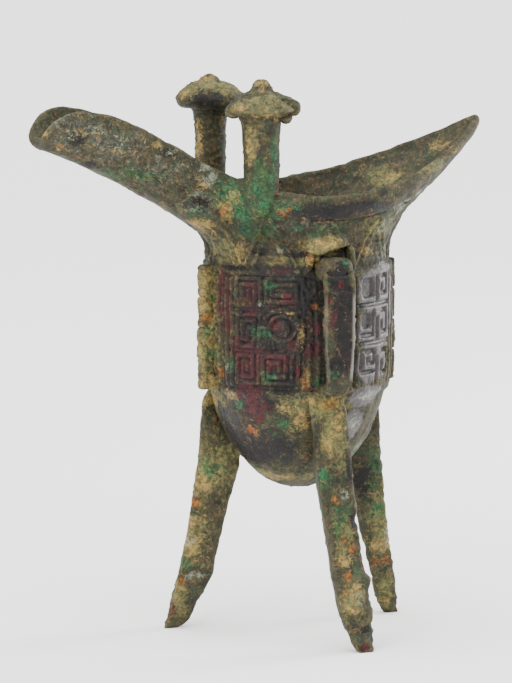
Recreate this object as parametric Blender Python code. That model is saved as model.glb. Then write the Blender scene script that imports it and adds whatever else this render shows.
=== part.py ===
# Bronze tripod wine cup of the early Chinese kind: one hollow casting on three blade legs.
# The cup's axis is vertical, the spout points along -X, the tail along +X and the handle along -Y.
# The finished casting is moved so that the origin lies on the ground under the middle of its box.
import math

import bmesh
import bpy
import numpy as np

# Every size below is in millimetres, and the mesh is written in metres
MILLIMETRE = 0.001

# Cup body, with heights counted from the lowest point of its egg-shaped bottom
BODY_RADIUS = 32.4
WALL = 2.4
GROUND_CLEARANCE = 52.0
BELLY_RISE = 50.0
BELLY_ROUNDNESS = 0.55
BAND_START = 37.0
BAND_HEIGHT = 44.0
NECK_HEIGHT = 5.0

# Mouth, with rises counted from the neck's top or from the lowest point of the rim
MOUTH_FLARE = 2.6
RIM_RISE = 21.3
TAIL_REACH = 73.5
TAIL_RISE = 24.4
TAIL_TIP_ROUNDING = math.radians(2.5)

# Pouring spout, a deep open channel
SPOUT_REACH = 98.2
SPOUT_CREST_RISE = 29.8
SPOUT_LIP_LENGTH = 13.5
SPOUT_LIP_DROP = 12.2
SPOUT_ROOT_WIDTH = 34.0
SPOUT_TIP_WIDTH = 28.0
SPOUT_DEPTH = 21.0
SPOUT_ROOT_SLOPE = 0.68
SPOUT_ROOT_RISE = 4.4
SPOUT_BOTTOM_SQUARENESS = 3.2
SPOUT_ROOT_FILLET = 4.0

# Two capped posts on the rim, where the spout leaves the mouth
POST_SETBACK = 23.5
NEAR_POST_HEIGHT = 37.4
FAR_POST_HEIGHT = 35.8
NEAR_POST_DIAMETER = 12.2
FAR_POST_DIAMETER = 10.9
POST_ROOT_LENGTH = 10.0
CAP_DIAMETER = 24.0
CAP_DEPTH = 9.7
CAP_EDGE = 0.63
NEAR_KNOB_HEIGHT = 3.9
FAR_KNOB_HEIGHT = 2.2
KNOB_DIAMETER = 6.2
CAP_LUMP_BEARING = math.radians(66.0)
CAP_LUMP_SIZE = 3.4

# Strap handle under an animal's head, a little off the middle as the mould was set
HANDLE_BEARING = math.radians(-2.0)
HANDLE_WIDTH = 10.8
HANDLE_FOOT_WIDTH = 7.6
HANDLE_THICKNESS = 3.0
HANDLE_GAP = 8.6
HANDLE_CORNER = 9.0
HANDLE_TOP_RISE = 3.6
HANDLE_BOTTOM_INSET = 1.0
BROW_BEARING = math.radians(-4.5)
BROW_RISE = 12.4
BROW_WIDTH = 15.4
BROW_HEIGHT = 4.6
BROW_DEPTH = 5.0
MUZZLE_DEPTH = 1.8

# Three vertical flanges on the band, at the spout, the tail and the back
FLANGE_DEPTH = 4.7
FLANGE_THICKNESS = 3.0
FLANGE_LOBES = 4
FLANGE_NOTCH = 0.9

# Blade legs: widths across, depths towards the axis, splay of each foot beyond the body, and
# bearings at the cup and at the foot
FRONT_LEG_WIDTH = 12.8
SPOUT_LEG_WIDTH = 12.0
TAIL_LEG_WIDTH = 10.6
FRONT_LEG_DEPTH = 12.0
SPOUT_LEG_DEPTH = 12.0
TAIL_LEG_DEPTH = 9.2
LEG_ROOT_SWELL = 3.0
LEG_TOP_BELOW_BAND = 3.0
LEG_PROUD = 1.1
FOOT_WIDTH = 5.0
FOOT_DEPTH = 4.4
FRONT_FOOT_TAPER = 15.0
SPOUT_FOOT_TAPER = 20.0
TAIL_FOOT_TAPER = 38.0
FRONT_FOOT_SPLAY = 15.4
SPOUT_FOOT_SPLAY = 15.0
TAIL_FOOT_SPLAY = 16.2
FRONT_LEG_BEARINGS = (math.radians(-2.6), math.radians(9.0))
SPOUT_LEG_BEARINGS = (math.radians(-115.5), math.radians(-116.0))
TAIL_LEG_BEARINGS = (math.radians(105.0), math.radians(111.0))

# Raised ornament of the band: two masks, each mirrored about the handle or the back flange
RELIEF = 1.1
STROKE = 2.2
BORDER_WIDTH = 1.7
SPIRAL_WIDTH = 12.6
SPIRAL_HEIGHT = 9.6
HOOK_WIDTH = 8.2
HOOK_HEIGHT = 9.4
EYE_RADIUS = 4.3
EYE_RING_RADIUS = 6.3
EYE_BULGE = 1.9

# Heights and radii that follow from the sizes above
BAND_BOTTOM = GROUND_CLEARANCE + BAND_START
BAND_TOP = BAND_BOTTOM + BAND_HEIGHT
NECK_TOP = BAND_TOP + NECK_HEIGHT
RIM_LOW = NECK_TOP + RIM_RISE
MOUTH_RADIUS = BODY_RADIUS + MOUTH_FLARE
BITE = WALL / 2
COLUMNS_PER_HALF = 31


def body_radius(height):
    """Outer radius of the egg-shaped bottom, the band and the neck at a height above the ground."""
    rise = np.clip((np.asarray(height, float) - GROUND_CLEARANCE) / BELLY_RISE, 0.0, 1.0)
    return BODY_RADIUS * (1.0 - (1.0 - rise) ** 2) ** BELLY_ROUNDNESS


def rim_height(x):
    """Height of the rim above the ground: it climbs to the tail and, further, along the spout."""
    x = np.asarray(x, float)
    tail = TAIL_RISE * (np.clip(x, 0.0, None) / TAIL_REACH) ** 1.9
    crest = SPOUT_REACH - SPOUT_LIP_LENGTH
    along = np.clip(-x, 0.0, crest) / crest
    along = along ** 1.25
    spout = SPOUT_CREST_RISE * along * along * (3.0 - 2.0 * along)
    past = np.clip((-x - crest) / SPOUT_LIP_LENGTH, 0.0, None)
    drop = SPOUT_LIP_DROP * (1.0 - np.sqrt(1.0 - np.minimum(past, 1.0) ** 2))
    beyond = SPOUT_DEPTH * np.clip(past - 1.0, 0.0, None)
    return RIM_LOW + tail + spout - drop - beyond


def mouth_reach(angle):
    """Distance from the axis to the rim, seen from above, without the spout. Angle 0 is the tail."""
    turn = math.hypot(angle, TAIL_TIP_ROUNDING)
    if turn >= math.pi / 2:
        return MOUTH_RADIUS
    x = np.linspace(0.0, TAIL_REACH, 400)
    half_width = MOUTH_RADIUS * (1.0 - (x / TAIL_REACH) ** 2.1) ** 0.93
    bearing = np.arctan2(half_width, x)
    return float(np.interp(turn, bearing[::-1], np.hypot(x, half_width)[::-1]))


def flare(angle):
    """Meridian of the mouth from the neck to the rim, as radii and heights of a cubic curve."""
    reach = mouth_reach(angle)
    top = float(rim_height(reach * math.cos(angle)))
    if abs(angle) > math.pi / 2:
        top = float(rim_height(-MOUTH_RADIUS * abs(math.cos(angle))))
    rise = top - NECK_TOP
    swell = reach - BODY_RADIUS
    corners = (
        (BODY_RADIUS, NECK_TOP),
        (BODY_RADIUS, NECK_TOP + 0.385 * rise),
        (reach - 0.17 * swell, top - 0.33 * rise),
        (reach, top),
    )
    u = np.linspace(0.0, 1.0, 120)
    weights = ((1 - u) ** 3, 3 * u * (1 - u) ** 2, 3 * u * u * (1 - u), u ** 3)
    radii = sum(weight * corner[0] for weight, corner in zip(weights, corners))
    heights = sum(weight * corner[1] for weight, corner in zip(weights, corners))
    return radii, heights


def spout_floor(x, y):
    """Height of the outer face of the spout's channel over a point of the plan."""
    length = SPOUT_REACH - BODY_RADIUS
    tip = float(rim_height(-SPOUT_REACH))
    start = NECK_TOP + SPOUT_ROOT_RISE
    bend = (tip - start - SPOUT_ROOT_SLOPE * length) / length ** 2
    out = -x - BODY_RADIUS
    keel = start + SPOUT_ROOT_SLOPE * out + bend * out * out
    share = np.clip(out / length, 0.0, 1.0)
    half_width = (SPOUT_ROOT_WIDTH + (SPOUT_TIP_WIDTH - SPOUT_ROOT_WIDTH) * share) / 2
    return keel + SPOUT_DEPTH * (np.abs(y) / half_width) ** SPOUT_BOTTOM_SQUARENESS


def mouth_meridian(angle):
    """Dense outer line from the neck's top to the rim in the half plane at an angle."""
    radii, heights = flare(angle)
    off_spout = math.pi - abs(angle)
    if off_spout > math.radians(50.0):
        return radii, heights
    level = np.linspace(NECK_TOP, RIM_LOW + SPOUT_CREST_RISE, 1500)
    cup = np.interp(level, heights, radii)
    ray = np.linspace(0.5 * BODY_RADIUS, 1.2 * SPOUT_REACH, 900)
    floor = spout_floor(-ray * math.cos(off_spout), ray * math.sin(off_spout))
    channel = np.interp(level, floor, ray)
    apart = cup - channel
    outer = (cup + channel + np.sqrt(apart * apart + SPOUT_ROOT_FILLET ** 2)) / 2
    fade = np.clip((math.radians(50.0) - off_spout) / math.radians(15.0), 0.0, 1.0)
    settle = np.clip((level - NECK_TOP) / SPOUT_ROOT_RISE, 0.0, 1.0)
    blend = fade * settle
    outer = cup + (outer - cup) * blend * blend * (3.0 - 2.0 * blend)
    over = level - rim_height(-outer * math.cos(off_spout))
    last = int(np.argmax(over > 0.0))
    share = over[last - 1] / (over[last - 1] - over[last])
    rim_radius = outer[last - 1] + share * (outer[last] - outer[last - 1])
    rim_level = level[last - 1] + share * (level[last] - level[last - 1])
    return np.append(outer[:last], rim_radius), np.append(level[:last], rim_level)


def mouth_points(angle, shares):
    """Points on the mouth's outer face at shares of the way from the neck to the rim."""
    radii, heights = mouth_meridian(angle)
    steps = np.hypot(np.diff(radii), np.diff(heights))
    way = np.concatenate(([0.0], np.cumsum(steps)))
    way /= way[-1]
    radius = np.interp(shares, way, radii)
    height = np.interp(shares, way, heights)
    return np.stack((radius * math.cos(angle), radius * math.sin(angle), height), axis=1)


def body_points(angle, levels):
    """Points on the outer face of the bottom, band and neck at the given heights."""
    radius = body_radius(levels)
    return np.stack((radius * math.cos(angle), radius * math.sin(angle), levels), axis=1)


def wall_column(angle, levels, shares, depth):
    """Points of one upright line of the wall, moved inwards at right angles to the outer face."""
    turn = math.radians(0.4)
    rise = 0.02
    lower = body_points(angle, levels)
    upper = mouth_points(angle, shares)
    if depth == 0.0:
        return np.vstack((lower, upper))
    across = np.vstack((
        body_points(angle + turn, levels) - body_points(angle - turn, levels),
        mouth_points(angle + turn, shares) - mouth_points(angle - turn, shares),
    ))
    along = np.vstack((
        body_points(angle, levels + rise) - body_points(angle, levels - rise),
        mouth_points(angle, np.minimum(shares + rise, 1.0)) - mouth_points(angle, shares - rise),
    ))
    normal = np.cross(across, along)
    normal /= np.linalg.norm(normal, axis=1, keepdims=True)
    return np.vstack((lower, upper)) - depth * normal


def column_angles():
    """Bearings of the wall's upright lines, closest together at the spout and the tail."""
    fine = np.linspace(0.0, math.pi, 721)
    spout = 4.0 * np.exp(-((math.pi - fine) / math.radians(17.0)) ** 2)
    tail = 1.3 * np.exp(-(fine / math.radians(14.0)) ** 2)
    weight = np.concatenate(([0.0], np.cumsum((1.0 + spout + tail)[:-1])))
    half = np.interp(np.linspace(0.0, weight[-1], COLUMNS_PER_HALF), weight, fine)
    return np.concatenate((half, 2 * math.pi - half[-2:0:-1]))


def signed(angle):
    """The same bearing between minus and plus half a turn."""
    return angle - 2 * math.pi if angle > math.pi else angle


def object_from(name, vertices, faces):
    """New object from points in millimetres and the faces between them."""
    mesh = bpy.data.meshes.new(name)
    mesh.from_pydata([tuple(float(c) * MILLIMETRE for c in point) for point in vertices], [], faces)
    bm = bmesh.new()
    bm.from_mesh(mesh)
    bmesh.ops.recalc_face_normals(bm, faces=bm.faces)
    bm.to_mesh(mesh)
    bm.free()
    thing = bpy.data.objects.new(name, mesh)
    bpy.context.collection.objects.link(thing)
    return thing


def fuse(base, additions):
    """Join the additions to the base as one casting and leave only the base."""
    for addition in additions:
        union = base.modifiers.new("union", "BOOLEAN")
        union.operation = "UNION"
        union.solver = "EXACT"
        union.object = addition
    bpy.context.view_layer.update()
    graph = bpy.context.evaluated_depsgraph_get()
    joined = bpy.data.meshes.new_from_object(base.evaluated_get(graph))
    base.modifiers.clear()
    base.data = joined
    for addition in additions:
        bpy.data.objects.remove(addition)


def cup_shell():
    """The open hollow cup with its tail and spout: outer wall, rim and inner wall in one skin."""
    angles = column_angles()
    belly = np.array([0.06, 0.16, 0.30, 0.48, 0.70]) * BELLY_RISE + GROUND_CLEARANCE
    outer_levels = np.concatenate((belly, (BAND_BOTTOM, GROUND_CLEARANCE + BELLY_RISE, BAND_TOP)))
    inner_levels = np.concatenate((belly[1:], (GROUND_CLEARANCE + BELLY_RISE,)))
    outer_shares = np.linspace(0.0, 1.0, 10)
    inner_shares = np.linspace(0.0, 1.0, 8)
    sides = (
        (np.sort(outer_levels), outer_shares, 0.0, 1),
        (np.sort(inner_levels), inner_shares, WALL, -1),
    )
    vertices = []
    faces = []
    rims = []
    for levels, shares, depth, way in sides:
        start = len(vertices)
        rows = len(levels) + len(shares)
        for angle in angles:
            vertices.extend(wall_column(signed(angle), levels, shares, depth))
        vertices.append((0.0, 0.0, GROUND_CLEARANCE + depth * 1.08))
        pole = len(vertices) - 1
        for column in range(len(angles)):
            here = start + column * rows
            there = start + (column + 1) % len(angles) * rows
            faces.append((pole, there, here)[::way])
            for row in range(rows - 1):
                faces.append((here + row, there + row, there + row + 1, here + row + 1)[::way])
        rims.append([start + column * rows + rows - 1 for column in range(len(angles))])
    for column in range(len(angles)):
        beside = (column + 1) % len(angles)
        faces.append((rims[0][column], rims[0][beside], rims[1][beside], rims[1][column]))
    return object_from("bronze_wine_cup", vertices, faces)


def loft(name, rings):
    """Closed solid through rings of equal point count, with flat ends."""
    count = len(rings[0])
    vertices = [point for ring in rings for point in ring]
    faces = [tuple(range(count)), tuple(range(len(vertices) - count, len(vertices)))]
    for level in range(len(rings) - 1):
        for corner in range(count):
            here = level * count + corner
            beside = level * count + (corner + 1) % count
            faces.append((here, beside, beside + count, here + count))
    return object_from(name, vertices, faces)


def leg(name, bearings, foot_radius, width, blade_depth, taper):
    """Blade leg: flat outer face, narrow inner ridge, splayed foot with a small flat tip."""
    top = BAND_BOTTOM - LEG_TOP_BELOW_BAND
    rings = []
    for share in (0.0, 0.03, 0.09, 0.19, 0.32, 0.46, 0.58, 0.68, 0.78, 0.89, 0.97, 1.0):
        height = share * top
        bearing = bearings[0] + (bearings[1] - bearings[0]) * (1.0 - share)
        out = np.array((math.sin(bearing), -math.cos(bearing), 0.0))
        side = np.array((math.cos(bearing), math.sin(bearing), 0.0))
        root_radius = BODY_RADIUS + LEG_PROUD
        outer = root_radius + (foot_radius - root_radius) * (1.0 - share) ** 1.75
        if share == 1.0:
            outer -= LEG_PROUD
        spread = min(height / taper, 1.0)
        root = np.clip((share - 0.4) / 0.35, 0.0, 1.0)
        depth = FOOT_DEPTH + (blade_depth - FOOT_DEPTH) * spread ** 0.6
        depth += LEG_ROOT_SWELL * root * root * (3.0 - 2.0 * root)
        inner = max(outer - depth, float(body_radius(height)) - BITE)
        half = (FOOT_WIDTH + (width - FOOT_WIDTH) * spread ** 0.6) / 2
        half *= 1.0 + 0.12 * root
        ridge = 0.32 * half
        section = (
            (outer - 0.09 * half * 2, -half),
            (outer, -0.66 * half),
            (outer, 0.66 * half),
            (outer - 0.09 * half * 2, half),
            (inner, ridge),
            (inner, -ridge),
        )
        rings.append([out * r + side * t + (0.0, 0.0, height) for r, t in section])
    return loft(name, rings)


def turned(name, centre, profile, segments):
    """Solid of revolution about an upright axis, from radii and heights."""
    rings = []
    for radius, height in profile:
        ring = []
        for step in range(segments):
            turn = 2 * math.pi * step / segments
            ring.append((centre[0] + radius * math.cos(turn), centre[1] + radius * math.sin(turn), height))
        rings.append(ring)
    return loft(name, rings)


def post(name, side, rise, diameter, knob_height, conical):
    """Post on the rim with a mushroom cap: conical on the near post, domed on the far one."""
    ring = MOUTH_RADIUS - WALL / 2
    centre = (-POST_SETBACK, side * math.sqrt(ring ** 2 - POST_SETBACK ** 2))
    seat = float(rim_height(-POST_SETBACK))
    top = seat + rise
    shaft = diameter / 2
    cap = CAP_DIAMETER / 2
    knob = KNOB_DIAMETER / 2
    shoulder = top - knob_height
    profile = [
        (0.30 * shaft, seat - POST_ROOT_LENGTH),
        (0.66 * shaft, seat - 0.84 * POST_ROOT_LENGTH),
        (0.90 * shaft, seat - 0.52 * POST_ROOT_LENGTH),
        (shaft, seat - 0.05 * POST_ROOT_LENGTH),
    ]
    if conical:
        profile += [
            (shaft, shoulder - CAP_DEPTH),
            (cap * 0.80, shoulder - 0.80 * CAP_DEPTH),
            (cap * 0.97, shoulder - 0.70 * CAP_DEPTH),
            (cap, shoulder - CAP_EDGE * CAP_DEPTH),
            (cap * 0.72, shoulder - 0.33 * CAP_DEPTH),
            (cap * 0.42, shoulder - 0.10 * CAP_DEPTH),
            (knob * 1.1, shoulder),
            (knob, shoulder + 0.45 * knob_height),
            (knob * 0.72, shoulder + 0.82 * knob_height),
            (knob * 0.25, top),
        ]
    else:
        profile += [
            (shaft, shoulder - CAP_DEPTH),
            (cap * 0.78, shoulder - 0.98 * CAP_DEPTH),
            (cap * 0.94, shoulder - 0.87 * CAP_DEPTH),
            (cap, shoulder - 0.69 * CAP_DEPTH),
            (cap * 0.93, shoulder - 0.47 * CAP_DEPTH),
            (cap * 0.74, shoulder - 0.24 * CAP_DEPTH),
            (cap * 0.48, shoulder - 0.07 * CAP_DEPTH),
            (knob * 1.1, shoulder),
            (knob * 0.85, shoulder + 0.6 * knob_height),
            (knob * 0.3, top),
        ]
    return turned(name, centre, profile, 20)


def cap_lump():
    """Rough lump of metal that hangs on the near cap's edge."""
    ring = MOUTH_RADIUS - WALL / 2
    reach = CAP_DIAMETER / 2 - 0.3 * CAP_LUMP_SIZE
    centre = (
        -POST_SETBACK + reach * math.sin(CAP_LUMP_BEARING),
        -math.sqrt(ring ** 2 - POST_SETBACK ** 2) - reach * math.cos(CAP_LUMP_BEARING),
    )
    shoulder = float(rim_height(-POST_SETBACK)) + NEAR_POST_HEIGHT - NEAR_KNOB_HEIGHT
    middle = shoulder - CAP_EDGE * CAP_DEPTH - 0.38 * CAP_LUMP_SIZE
    shape = ((0.40, -0.95), (0.78, -0.60), (0.86, 0.10), (0.72, 0.55), (0.30, 0.85))
    profile = [(radius * CAP_LUMP_SIZE, middle + rise * CAP_LUMP_SIZE) for radius, rise in shape]
    return turned("cap_lump", centre, profile, 9)


def plate(name, outline, bearing, half_thickness):
    """Upright plate through the axis: an outline of radii and heights, thick across its plane."""
    out = np.array((math.sin(bearing), -math.cos(bearing), 0.0))
    side = np.array((math.cos(bearing), math.sin(bearing), 0.0))
    rings = []
    for offset in (-half_thickness, half_thickness):
        rings.append([out * r + side * offset + (0.0, 0.0, z) for r, z in outline])
    return loft(name, rings)


def flange(name, bearing):
    """Vertical flange of the band, with rounded ends and shallow notches between its lobes."""
    reach = BODY_RADIUS + FLANGE_DEPTH
    lobe = BAND_HEIGHT / FLANGE_LOBES
    outline = [
        (reach - 0.72 * FLANGE_DEPTH, BAND_BOTTOM),
        (reach - 0.50 * FLANGE_DEPTH, BAND_BOTTOM + 0.10 * lobe),
        (reach - 0.13 * FLANGE_DEPTH, BAND_BOTTOM + 0.55 * lobe),
    ]
    for notch in range(1, FLANGE_LOBES):
        middle = BAND_BOTTOM + notch * lobe
        outline += [
            (reach, middle - 0.7 * FLANGE_NOTCH),
            (reach - FLANGE_NOTCH, middle),
            (reach, middle + 0.7 * FLANGE_NOTCH),
        ]
    outline += [
        (reach, BAND_TOP - 0.35 * lobe),
        (reach - 0.22 * FLANGE_DEPTH, BAND_TOP - 0.1 * lobe),
        (reach - 0.70 * FLANGE_DEPTH, BAND_TOP),
    ]
    inner = [(float(body_radius(z)) - BITE, z) for z in np.linspace(BAND_TOP, BAND_BOTTOM, 5)]
    return plate(name, outline + inner, bearing, FLANGE_THICKNESS / 2)


def handle():
    """Strap handle: straight down the front, turned in to the band above and below."""
    inner = BODY_RADIUS + HANDLE_GAP
    outer = inner + HANDLE_THICKNESS
    top = BAND_TOP + HANDLE_TOP_RISE
    bottom = BAND_BOTTOM + HANDLE_BOTTOM_INSET
    small = HANDLE_CORNER - HANDLE_THICKNESS
    quarter = [math.radians(90.0 * step / 4) for step in range(5)]
    outline = [(BODY_RADIUS - BITE, top)]
    outline += [
        (outer - HANDLE_CORNER * (1 - math.sin(a)), top - HANDLE_CORNER * (1 - math.cos(a))) for a in quarter
    ]
    outline += [
        (outer - HANDLE_CORNER * (1 - math.cos(a)), bottom + HANDLE_CORNER * (1 - math.sin(a)))
        for a in quarter
    ]
    outline.append((float(body_radius(bottom)) - BITE, bottom))
    low_inside = bottom + HANDLE_THICKNESS
    outline.append((float(body_radius(low_inside)) - BITE, low_inside))
    outline += [
        (inner - small * (1 - math.sin(a)), low_inside + small * (1 - math.cos(a))) for a in quarter
    ]
    high_inside = top - HANDLE_THICKNESS
    outline += [
        (inner - small * (1 - math.cos(a)), high_inside - small * (1 - math.sin(a))) for a in quarter
    ]
    outline.append((BODY_RADIUS - BITE, high_inside))
    out = np.array((math.sin(HANDLE_BEARING), -math.cos(HANDLE_BEARING), 0.0))
    side = np.array((math.cos(HANDLE_BEARING), math.sin(HANDLE_BEARING), 0.0))
    rings = []
    for way in (-1, 1):
        ring = []
        for radius, height in outline:
            share = min(max((height - bottom) / (2 * HANDLE_CORNER), 0.0), 1.0)
            half = (HANDLE_FOOT_WIDTH + (HANDLE_WIDTH - HANDLE_FOOT_WIDTH) * share) / 2
            ring.append(out * radius + side * way * half + (0.0, 0.0, height))
        rings.append(ring)
    return loft("handle", rings)


def across_ring(bearing, outer, low, high, width, round_off):
    """Eight-cornered upright section of the animal's head, at one distance from the axis."""
    out = np.array((math.sin(bearing), -math.cos(bearing), 0.0))
    side = np.array((math.cos(bearing), math.sin(bearing), 0.0))
    half = width / 2
    cut = min(round_off, 0.4 * (high - low), 0.4 * half)
    corners = (
        (-half, low + cut), (-half + cut, low), (half - cut, low), (half, low + cut),
        (half, high - cut), (half - cut, high), (-half + cut, high), (-half, high - cut),
    )
    return [out * outer + side * across + (0.0, 0.0, height) for across, height in corners]


def brow():
    """Horned brow of the animal's head over the handle, with a shadowed hollow under it."""
    high = BAND_TOP + BROW_RISE
    low = high - BROW_HEIGHT
    root = BODY_RADIUS - BITE
    reach = BODY_RADIUS + BROW_DEPTH
    rings = (
        across_ring(BROW_BEARING, root, low, high, BROW_WIDTH, 1.0),
        across_ring(BROW_BEARING, reach - 1.8, low, high, BROW_WIDTH, 1.2),
        across_ring(BROW_BEARING, reach - 0.5, low + 0.3, high - 0.7, 0.92 * BROW_WIDTH, 1.4),
        across_ring(BROW_BEARING, reach, low + 1.1, high - 1.6, 0.80 * BROW_WIDTH, 1.0),
    )
    return loft("brow", rings)


def muzzle():
    """Muzzle of the animal's head, from which the strap hangs."""
    high = BAND_TOP + HANDLE_TOP_RISE + 0.8
    low = high - 6.0
    root = BODY_RADIUS - BITE
    reach = BODY_RADIUS + HANDLE_GAP + HANDLE_THICKNESS + MUZZLE_DEPTH
    rings = (
        across_ring(HANDLE_BEARING, root, low, high, 1.22 * HANDLE_WIDTH, 1.0),
        across_ring(HANDLE_BEARING, root + 0.5 * (reach - root), low, high, 1.18 * HANDLE_WIDTH, 1.0),
        across_ring(HANDLE_BEARING, reach - 1.4, low - 0.6, high - 1.2, 1.10 * HANDLE_WIDTH, 1.2),
        across_ring(HANDLE_BEARING, reach, low + 0.2, high - 2.6, 0.86 * HANDLE_WIDTH, 1.0),
    )
    return loft("muzzle", rings)


def square_spiral(centre, width, height, turns, up):
    """Corner points of a square spiral that winds inwards; up is 1 or -1 for its opening side."""
    pitch = 1.72 * STROKE
    left = centre[0] - width / 2
    right = centre[0] + width / 2
    low = centre[1] - height / 2
    high = centre[1] + height / 2
    points = [(left, low), (left, high)]
    for turn in range(turns):
        if turn % 4 == 0:
            points.append((right, high))
            high -= pitch
        elif turn % 4 == 1:
            points.append((right, low))
            right -= pitch
        elif turn % 4 == 2:
            left += pitch
            points.append((left, low))
            low += pitch
        else:
            points.append((left, high))
    return [(s, centre[1] + up * (h - centre[1])) for s, h in points]


def fine_path(points, longest):
    """The same path with long runs cut into equal shorter ones, so that it can bend round the cup."""
    path = [points[0]]
    for start, end in zip(points, points[1:]):
        pieces = max(1, math.ceil(math.dist(start, end) / longest))
        for piece in range(1, pieces + 1):
            share = piece / pieces
            path.append(tuple(a + (b - a) * share for a, b in zip(start, end)))
    return path


def stroke_sides(path, width):
    """Left and right edges of a stroke of even width along a path, with mitred corners."""
    left = []
    right = []
    for index, point in enumerate(path):
        before = np.subtract(point, path[max(index - 1, 0)])
        after = np.subtract(path[min(index + 1, len(path) - 1)], point)
        before = before if np.any(before) else after
        after = after if np.any(after) else before
        before = before / np.hypot(*before)
        after = after / np.hypot(*after)
        across = np.array((-before[1] - after[1], before[0] + after[0]))
        across /= np.hypot(*across)
        reach = width / 2 / max(0.4, abs(float(np.dot(across, (-after[1], after[0])))))
        left.append(np.add(point, across * reach))
        right.append(np.subtract(point, across * reach))
    return left, right


def on_band(way, height_above_band, raised, centre, side):
    """Point over the band: way along the wall from the mask's middle, at a height, and raised."""
    height = BAND_BOTTOM + height_above_band
    turn = centre + side * way / BODY_RADIUS
    radius = float(body_radius(height)) + raised
    return (radius * math.sin(turn), -radius * math.cos(turn), height)


def raised_stroke(path, width, centre, side):
    """Raised ribbon on the band along a path."""
    left, right = stroke_sides(fine_path(path, 6.6), width)
    rings = []
    for a, b in zip(left, right):
        rings.append([
            on_band(a[0], a[1], -BITE, centre, side),
            on_band(b[0], b[1], -BITE, centre, side),
            on_band(b[0], b[1], RELIEF, centre, side),
            on_band(a[0], a[1], RELIEF, centre, side),
        ])
    return loft("stroke", rings)


def raised_disc(middle, steps, centre, side):
    """Bulging round form on the band, from rings of radius and height, such as an eye."""
    rings = []
    for radius, raised in steps:
        ring = []
        for step in range(12):
            turn = 2 * math.pi * step / 12
            way = middle[0] + radius * math.cos(turn)
            rise = middle[1] + radius * math.sin(turn)
            ring.append(on_band(way, rise, raised, centre, side))
        rings.append(ring)
    return loft("disc", rings)


def mask_strokes():
    """Paths of one half of a mask, as way from its middle and height above the band's foot."""
    row = BAND_HEIGHT / 2
    upper = row + 0.33 * BAND_HEIGHT
    lower = row - 0.33 * BAND_HEIGHT
    quarter = BODY_RADIUS * math.pi / 2
    horn = square_spiral((0.345 * quarter, upper), SPIRAL_WIDTH, SPIRAL_HEIGHT, 4, 1)
    jaw = square_spiral((0.345 * quarter, lower), SPIRAL_WIDTH, SPIRAL_HEIGHT, 4, -1)
    hooks = []
    for height, up in ((upper, 1), (row, 1), (lower, -1)):
        hooks.append(square_spiral((0.63 * quarter, height), HOOK_WIDTH, HOOK_HEIGHT, 3, up))
    bar = [(0.80 * quarter, 0.10 * BAND_HEIGHT), (0.80 * quarter, 0.90 * BAND_HEIGHT)]
    snout = [
        (0.10 * quarter, 0.10 * BAND_HEIGHT),
        (0.10 * quarter, 0.55 * BAND_HEIGHT),
        (0.13 * quarter, 0.91 * BAND_HEIGHT),
    ]
    return [horn, jaw, *hooks, bar, snout]


def masks():
    """All raised strokes and eyes of the two masks."""
    quarter = BODY_RADIUS * math.pi / 2
    eye = (0.315 * quarter, BAND_HEIGHT / 2)
    pieces = []
    for centre in (0.0, math.pi):
        for side in (-1, 1):
            for path in mask_strokes():
                pieces.append(raised_stroke(path, STROKE, centre, side))
            steps = (
                (EYE_RING_RADIUS, -BITE),
                (EYE_RING_RADIUS, 0.8 * RELIEF),
                (EYE_RADIUS + 0.6, 0.8 * RELIEF),
                (EYE_RADIUS - 0.2, 0.15 * RELIEF),
                (EYE_RADIUS - 0.9, EYE_BULGE * 0.8),
                (EYE_RADIUS * 0.35, EYE_BULGE),
            )
            pieces.append(raised_disc(eye, steps, centre, side))
    return pieces


def borders():
    """Raised rings that close the band above and below."""
    rings = []
    for low in (BAND_BOTTOM, BAND_TOP - BORDER_WIDTH):
        high = low + BORDER_WIDTH
        profile = (
            (float(body_radius(low)) - BITE, low),
            (float(body_radius(low)) + 0.7 * RELIEF, low),
            (float(body_radius(high)) + 0.7 * RELIEF, high),
            (float(body_radius(high)) - BITE, high),
        )
        rings.append(hoop("border", profile, 48))
    return rings


def hoop(name, profile, segments):
    """Closed ring about the axis with a section of radii and heights."""
    count = len(profile)
    vertices = []
    faces = []
    for step in range(segments):
        turn = 2 * math.pi * step / segments
        vertices += [(r * math.cos(turn), r * math.sin(turn), z) for r, z in profile]
        for corner in range(count):
            here = step * count + corner
            beside = step * count + (corner + 1) % count
            ahead = (step + 1) % segments * count
            faces.append((here, beside, ahead + (corner + 1) % count, ahead + corner))
    return object_from(name, vertices, faces)


def join(pieces):
    """One object from pieces that don't touch each other."""
    bm = bmesh.new()
    for piece in pieces:
        bm.from_mesh(piece.data)
    mesh = bpy.data.meshes.new("ornament")
    bm.to_mesh(mesh)
    bm.free()
    for piece in pieces:
        bpy.data.objects.remove(piece)
    thing = bpy.data.objects.new("ornament", mesh)
    bpy.context.collection.objects.link(thing)
    return thing


def bronze():
    """Old bronze with a brown and green patina."""
    material = bpy.data.materials.new("patinated_bronze")
    material.use_nodes = True
    shader = material.node_tree.nodes["Principled BSDF"]
    shader.inputs["Base Color"].default_value = (0.095, 0.085, 0.052, 1.0)
    shader.inputs["Metallic"].default_value = 0.55
    shader.inputs["Roughness"].default_value = 0.52
    return material


def set_on_ground(thing):
    """Move the mesh so that the origin is on the ground under the middle of its box."""
    corners = np.array([tuple(vertex.co) for vertex in thing.data.vertices])
    low = corners.min(axis=0)
    high = corners.max(axis=0)
    middle = ((low[0] + high[0]) / 2, (low[1] + high[1]) / 2, low[2])
    for vertex in thing.data.vertices:
        vertex.co = [value - shift for value, shift in zip(vertex.co, middle)]


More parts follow.
